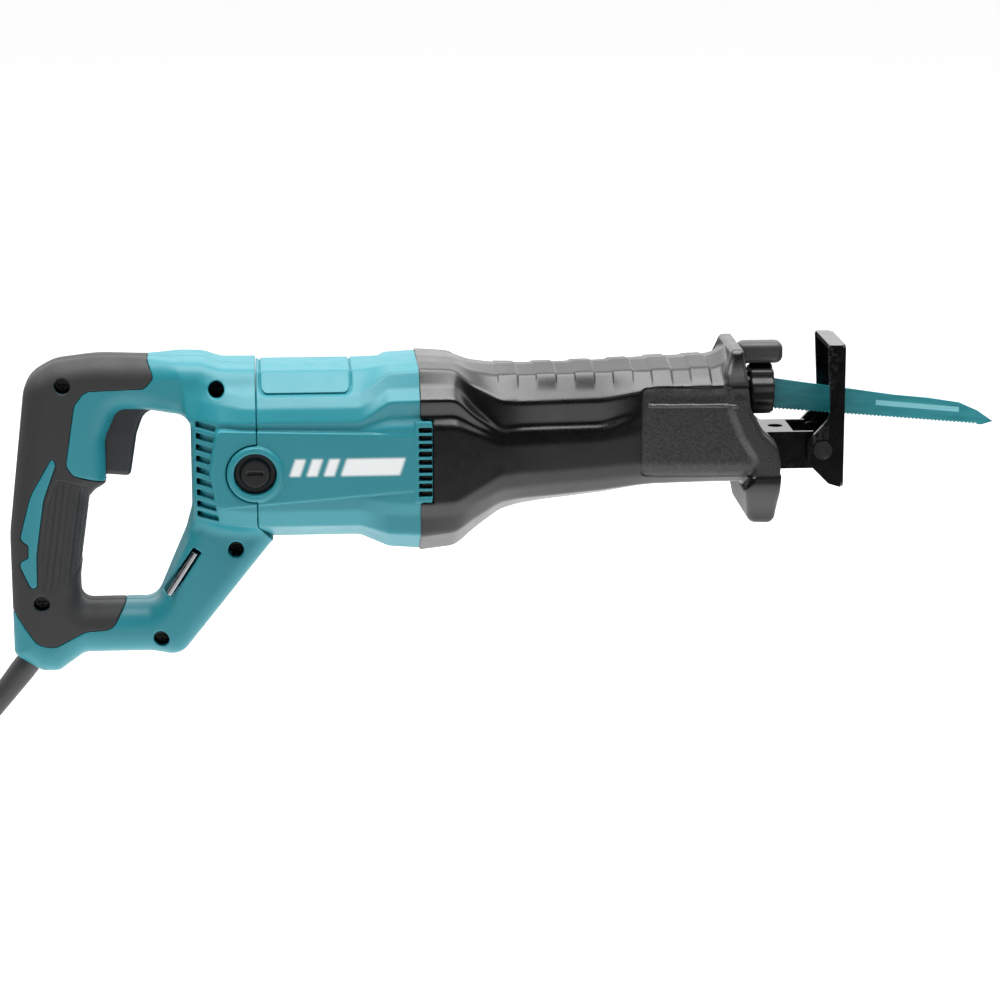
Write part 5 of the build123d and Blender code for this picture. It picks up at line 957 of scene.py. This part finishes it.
def build_motor_housing():
    grid = Grid((-149, -48.6, -81.5), (-25, 48.6, 21))
    radius, rear, front = MOTOR_SLEEVE
    sleeve = common(round_x(grid, radius, MOTOR_Z), grid.x - front, rear - grid.x)
    bores = union(common(round_x(grid, r, MOTOR_Z), rear_x - grid.x) for r, rear_x in MOTOR_BORES)
    body = cut(join(housing_form(grid), sleeve), bores)
    radius, seat = BRUSH_RECESS
    body = cut(body, overlap(round_y(grid, BRUSH_X, MOTOR_Z, radius), seat - grid.side), 0.8)
    radius, seat = BRUSH_BORE
    body = cut(body, common(round_y(grid, BRUSH_X, MOTOR_Z, radius), seat - grid.side))
    x, pitch, length, height = FRONT_SLOT
    for z in slot_heights(SLOTS_Z, pitch):
        body = cut(body, box_field(grid, around(x, length / 2), (30.0, 60.0), around(z, height / 2), 0.4))
    marks = {"print": side_print(grid)}
    build_piece("motor_shell", body, grid, "housing", teal_marked, "motor_housing", marks)


def build_brush_caps():
    """Slotted screw caps over the two brushes, each a disc inside a lower rim."""
    grid = Grid((BRUSH_X - 13.0, -48.5, MOTOR_Z - 13.0), (BRUSH_X + 13.0, 48.5, MOTOR_Z + 13.0))
    rim_r, disc_r, half = BRUSH_CAP
    neck_r, neck_middle, neck_half = CAP_NECK
    slot_length, slot_height, slot_depth = CAP_SLOT
    rim = overlap(round_y(grid, BRUSH_X, MOTOR_Z, rim_r), grid.side - half + slot_depth, 0.4)
    disc = overlap(round_y(grid, BRUSH_X, MOTOR_Z, disc_r), grid.side - half, 0.8)
    neck = common(round_y(grid, BRUSH_X, MOTOR_Z, neck_r), np.abs(grid.side - neck_middle) - neck_half)
    body = join(join(common(rim, CAP_SEAT - grid.side), common(disc, CAP_SEAT - grid.side), 0.4), neck)
    slot = box_field(
        grid, around(BRUSH_X, slot_length), (half - slot_depth, half + 2.0), around(MOTOR_Z, slot_height))
    body = cut(body, slot, 0.3)
    build_piece("slotted_brush_caps", body, grid, "housing", cap_plastic, "brush_caps")


# ---- Front boot ----
def top_pads(grid):
    """Low pads along the top of the boot, for the forward hand, as a height."""
    first, pitch, length, count = TOP_PADS
    starts = [first + pitch * k for k in range(count)]
    pads = union(common(start - grid.x, grid.x - start - length) for start in starts)
    return TOP_PAD_HEIGHT * smooth_step(-pads, -0.5, 0.5) * smooth_step(grid.z, 4.5, 13.0)


def nose_ridge(grid):
    """Fine ridge along the nose's side, as a height."""
    start, end, z, height = NOSE_RIDGE
    ridge = common(np.abs(grid.z - z), start - grid.x, grid.x - end)
    return height * np.clip(1.0 - ridge, 0.0, 1.0)


def boot_form(grid, panel):
    """Outer form of the boot with the guard at its front; panel is the sunk field on the nose's side."""
    form = section_field(grid, BOOT_SECTIONS, 5.0)
    form = blurred(overlap(form, outline_field(grid, NOSE_FRONT_CORNERS), 2.0), grid, 1.1)
    top_cut, top_from, top_to = FLANGE_TOP_TAPER
    foot_cut, foot_from, foot_to = FLANGE_FOOT_TAPER
    half = FLANGE_HALF - top_cut * smooth_step(grid.z, top_from, top_to)
    half = half - foot_cut * smooth_step(-grid.z, foot_from, foot_to)
    form = join(form, extruded(outline_field(grid, FLANGE_CORNERS), grid.side, half, 3.0), 3.0)
    form = form + NOSE_PANEL_DEPTH * smooth_step(-panel, -0.4, 0.6)
    return form - nose_ridge(grid) - top_pads(grid)


def build_boot():
    grid = Grid((-38, -48.2, -82.5), (160.5, 48.2, 30))
    start, end, foot, top = NOSE_PANEL
    panel = box_field(grid, (start, end), (30.0, 60.0), (foot, top), 3.0)
    outer = boot_form(grid, panel)
    body = overlap(outer, BOOT_REAR_X - grid.x, 1.2)
    body = cut(body, common(outer + BOOT_WALL, grid.x - CAVITY_FRONT_X))
    body = cut(body, common(round_x(grid, MOUTH_R), MOUTH_X - grid.x), 0.6)
    half, foot, top = SLIDE_OPENING
    body = cut(body, box_field(grid, (120.0, 190.0), (-half, half), (foot, top), 1.0), 0.8)
    notch_height = around(SLOTS_Z, TONGUE_HALF + NOTCH_GAP)
    notch = box_field(grid, (-60.0, TONGUE_X + NOTCH_GAP), (NOTCH_SIDE, 60.0), notch_height, 0.4)
    # Painted shade: a thin black wall of the boot put behind the slotted tongue so its slots read dark
    shade_sheet_length = (BOOT_REAR_X + 0.4, TONGUE_X + 3.0)
    shade_sheet = box_field(grid, shade_sheet_length, (SHADE_SHEET_SIDE, NOTCH_SIDE), around(SLOTS_Z, SHADE_SHEET_HALF))
    body = join(cut(body, notch, 0.5), shade_sheet)
    body = cut(body, common(round_y(grid, *SHOE_BUTTON), -grid.y), 0.6)
    marks = {"panel": smooth_step(-panel, 0.0, 0.8)}
    build_piece("boot", body, grid, "housing", boot_rubber, "front_boot", marks)


# ---- Blade clamp ----
def build_lever():
    """Lever ring with the paddle that turns it."""
    grid = Grid((130, -18, -18), (164.5, 18, 27.5), GRID_STEP * 0.7)
    start, end, radius, bore = LEVER_RING
    ring = overlap(overlap(round_x(grid, radius), start - grid.x, 0.8), grid.x - end, 0.8)
    start, end, foot, top, half = LEVER_PADDLE
    paddle = box_field(grid, (start, end), (-half, half), (foot, top), 4.2)
    paddle = overlap(paddle, round_x(grid, LEVER_CROWN_R), 2.0)
    body = join(ring, cut(paddle, round_x(grid, foot), 0.8), 2.0)
    body = blurred(cut(body, round_x(grid, bore)), grid, 0.35)
    build_piece("tool_free_lever", body, grid, "clamp_lever", lever_plastic, "clamp_lever")


def build_collar():
    """Lobed collar round the blade clamp."""
    start, end, radius, bore = COLLAR
    grid = Grid((145, -15, -15), (159.5, 15, 15), GRID_STEP * 0.6)
    angle = np.arctan2(grid.z, grid.y)
    swell = COLLAR_LOBE_DEPTH * np.cos(COLLAR_LOBES * angle - math.pi / 2) ** 2
    rim = round_x(grid, radius - COLLAR_LOBE_DEPTH + swell)
    body = overlap(overlap(rim, start - grid.x, 1.2), grid.x - end, 1.6)
    body = cut(blurred(body, grid, 0.4), round_x(grid, bore))
    build_piece("clamp_collar", body, grid, "clamp_sleeve", black_plastic, "clamp_sleeve")


# ---- CAD pieces that keep their own shape ----
def finish_cad_pieces():
    """Gives each remaining CAD piece its slot's finish and small rounded edges with hardened normals."""
    slot_of = {part["node"]: part["material_slot"] for part in frame["record"]["subparts"]}
    for name, piece in frame["nodes"].items():
        if name in replaced_nodes:
            continue
        finish = worn_pin if name == "shoe_pivot_pin" else FINISHES[slot_of[name]]
        piece.data.materials.clear()
        piece.data.materials.append(finish)
        weld = piece.modifiers.new("weld", "WELD")
        weld.merge_threshold = 0.01 * MM
        bevel = piece.modifiers.new("edges", "BEVEL")
        bevel.width = 0.25 * MM
        bevel.segments = 2
        bevel.limit_method = "ANGLE"
        bevel.angle_limit = math.radians(40.0)
        bevel.harden_normals = True


# ---- Stage ----
def floor_finish():
    """Pale floor that reflections show bright under the object and dark further out, as on a light table."""
    nodes = Nodes("pale floor")
    nodes.finish(
        Base_Color=FLOOR_WHITE, Roughness=1.0, Specular_IOR_Level=0.0,
        Emission_Color=PURE_WHITE, Emission_Strength=FLOOR_GLOW,
    )
    distance = nodes.add("ShaderNodeVectorMath", operation="LENGTH")
    nodes.feed(distance.inputs[0], nodes.place())
    near, far, bright, dark = TABLE_GLOW
    glow = nodes.remap(distance.outputs["Value"], near, far, bright, dark)
    table = nodes.add("ShaderNodeEmission", Strength=glow)
    mixed = nodes.add("ShaderNodeMixShader")
    nodes.feed(mixed.inputs[0], nodes.add("ShaderNodeLightPath").outputs["Is Glossy Ray"])
    nodes.feed(mixed.inputs[1], nodes.shader.outputs[0])
    nodes.feed(mixed.inputs[2], table.outputs[0])
    nodes.feed(nodes.tree.nodes["Material Output"].inputs["Surface"], mixed.outputs[0])
    return nodes.material


def build_floor():
    reach = FLOOR_REACH
    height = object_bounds()[0][2] - FLOOR_GAP
    corners = [(x * reach, y * reach, height) for x, y in ((-1, -1), (1, -1), (1, 1), (-1, 1))]
    mesh = bpy.data.meshes.new("floor")
    mesh.from_pydata(corners, [], [(0, 1, 2, 3)])
    mesh.materials.append(floor_finish())
    new_object("floor", mesh)


def build_studio():
    """Soft white surroundings that are bright on one side only."""
    world = bpy.data.worlds.new("studio")
    bpy.context.scene.world = world
    world.use_nodes = True
    tree = world.node_tree
    place = tree.nodes.new("ShaderNodeTexCoord")
    towards = tree.nodes.new("ShaderNodeVectorMath")
    towards.operation = "DOT_PRODUCT"
    towards.inputs[1].default_value = SKY_TOWARDS
    ramp = tree.nodes.new("ShaderNodeMapRange")
    ramp.interpolation_type = "SMOOTHSTEP"
    for key, number in zip(("From Min", "From Max", "To Min", "To Max"), SKY):
        ramp.inputs[key].default_value = number
    background = tree.nodes["Background"].inputs
    tree.links.new(place.outputs["Generated"], towards.inputs[0])
    tree.links.new(towards.outputs["Value"], ramp.inputs["Value"])
    tree.links.new(ramp.outputs["Result"], background["Strength"])
    background["Color"].default_value = PURE_WHITE
    bpy.context.scene.view_settings.view_transform = "Standard"


def place_and_aim(name, data, place, aim):
    """New light or camera, looking from its place towards a point."""
    thing = new_object(name, data)
    thing.location = place
    thing.rotation_euler = (Vector(aim) - Vector(place)).to_track_quat("-Z", "Y").to_euler()
    return thing


def add_light(name, place, size, power):
    data = bpy.data.lights.new(name, "AREA")
    data.shape = "RECTANGLE"
    data.size, data.size_y = size
    data.energy = power
    place_and_aim(name, data, place, LIGHT_AIM)


def add_camera():
    data = bpy.data.cameras.new("camera")
    data.lens = CAMERA_LENS
    data.sensor_width = 36.0
    bpy.context.scene.camera = place_and_aim("camera", data, CAMERA_PLACE, CAMERA_AIM)


build_handle()
build_trigger()
build_motor_housing()
build_brush_caps()
build_boot()
build_lever()
build_collar()
finish_cad_pieces()
build_floor()
build_studio()
for light in LIGHTS:
    add_light(*light)
add_camera()
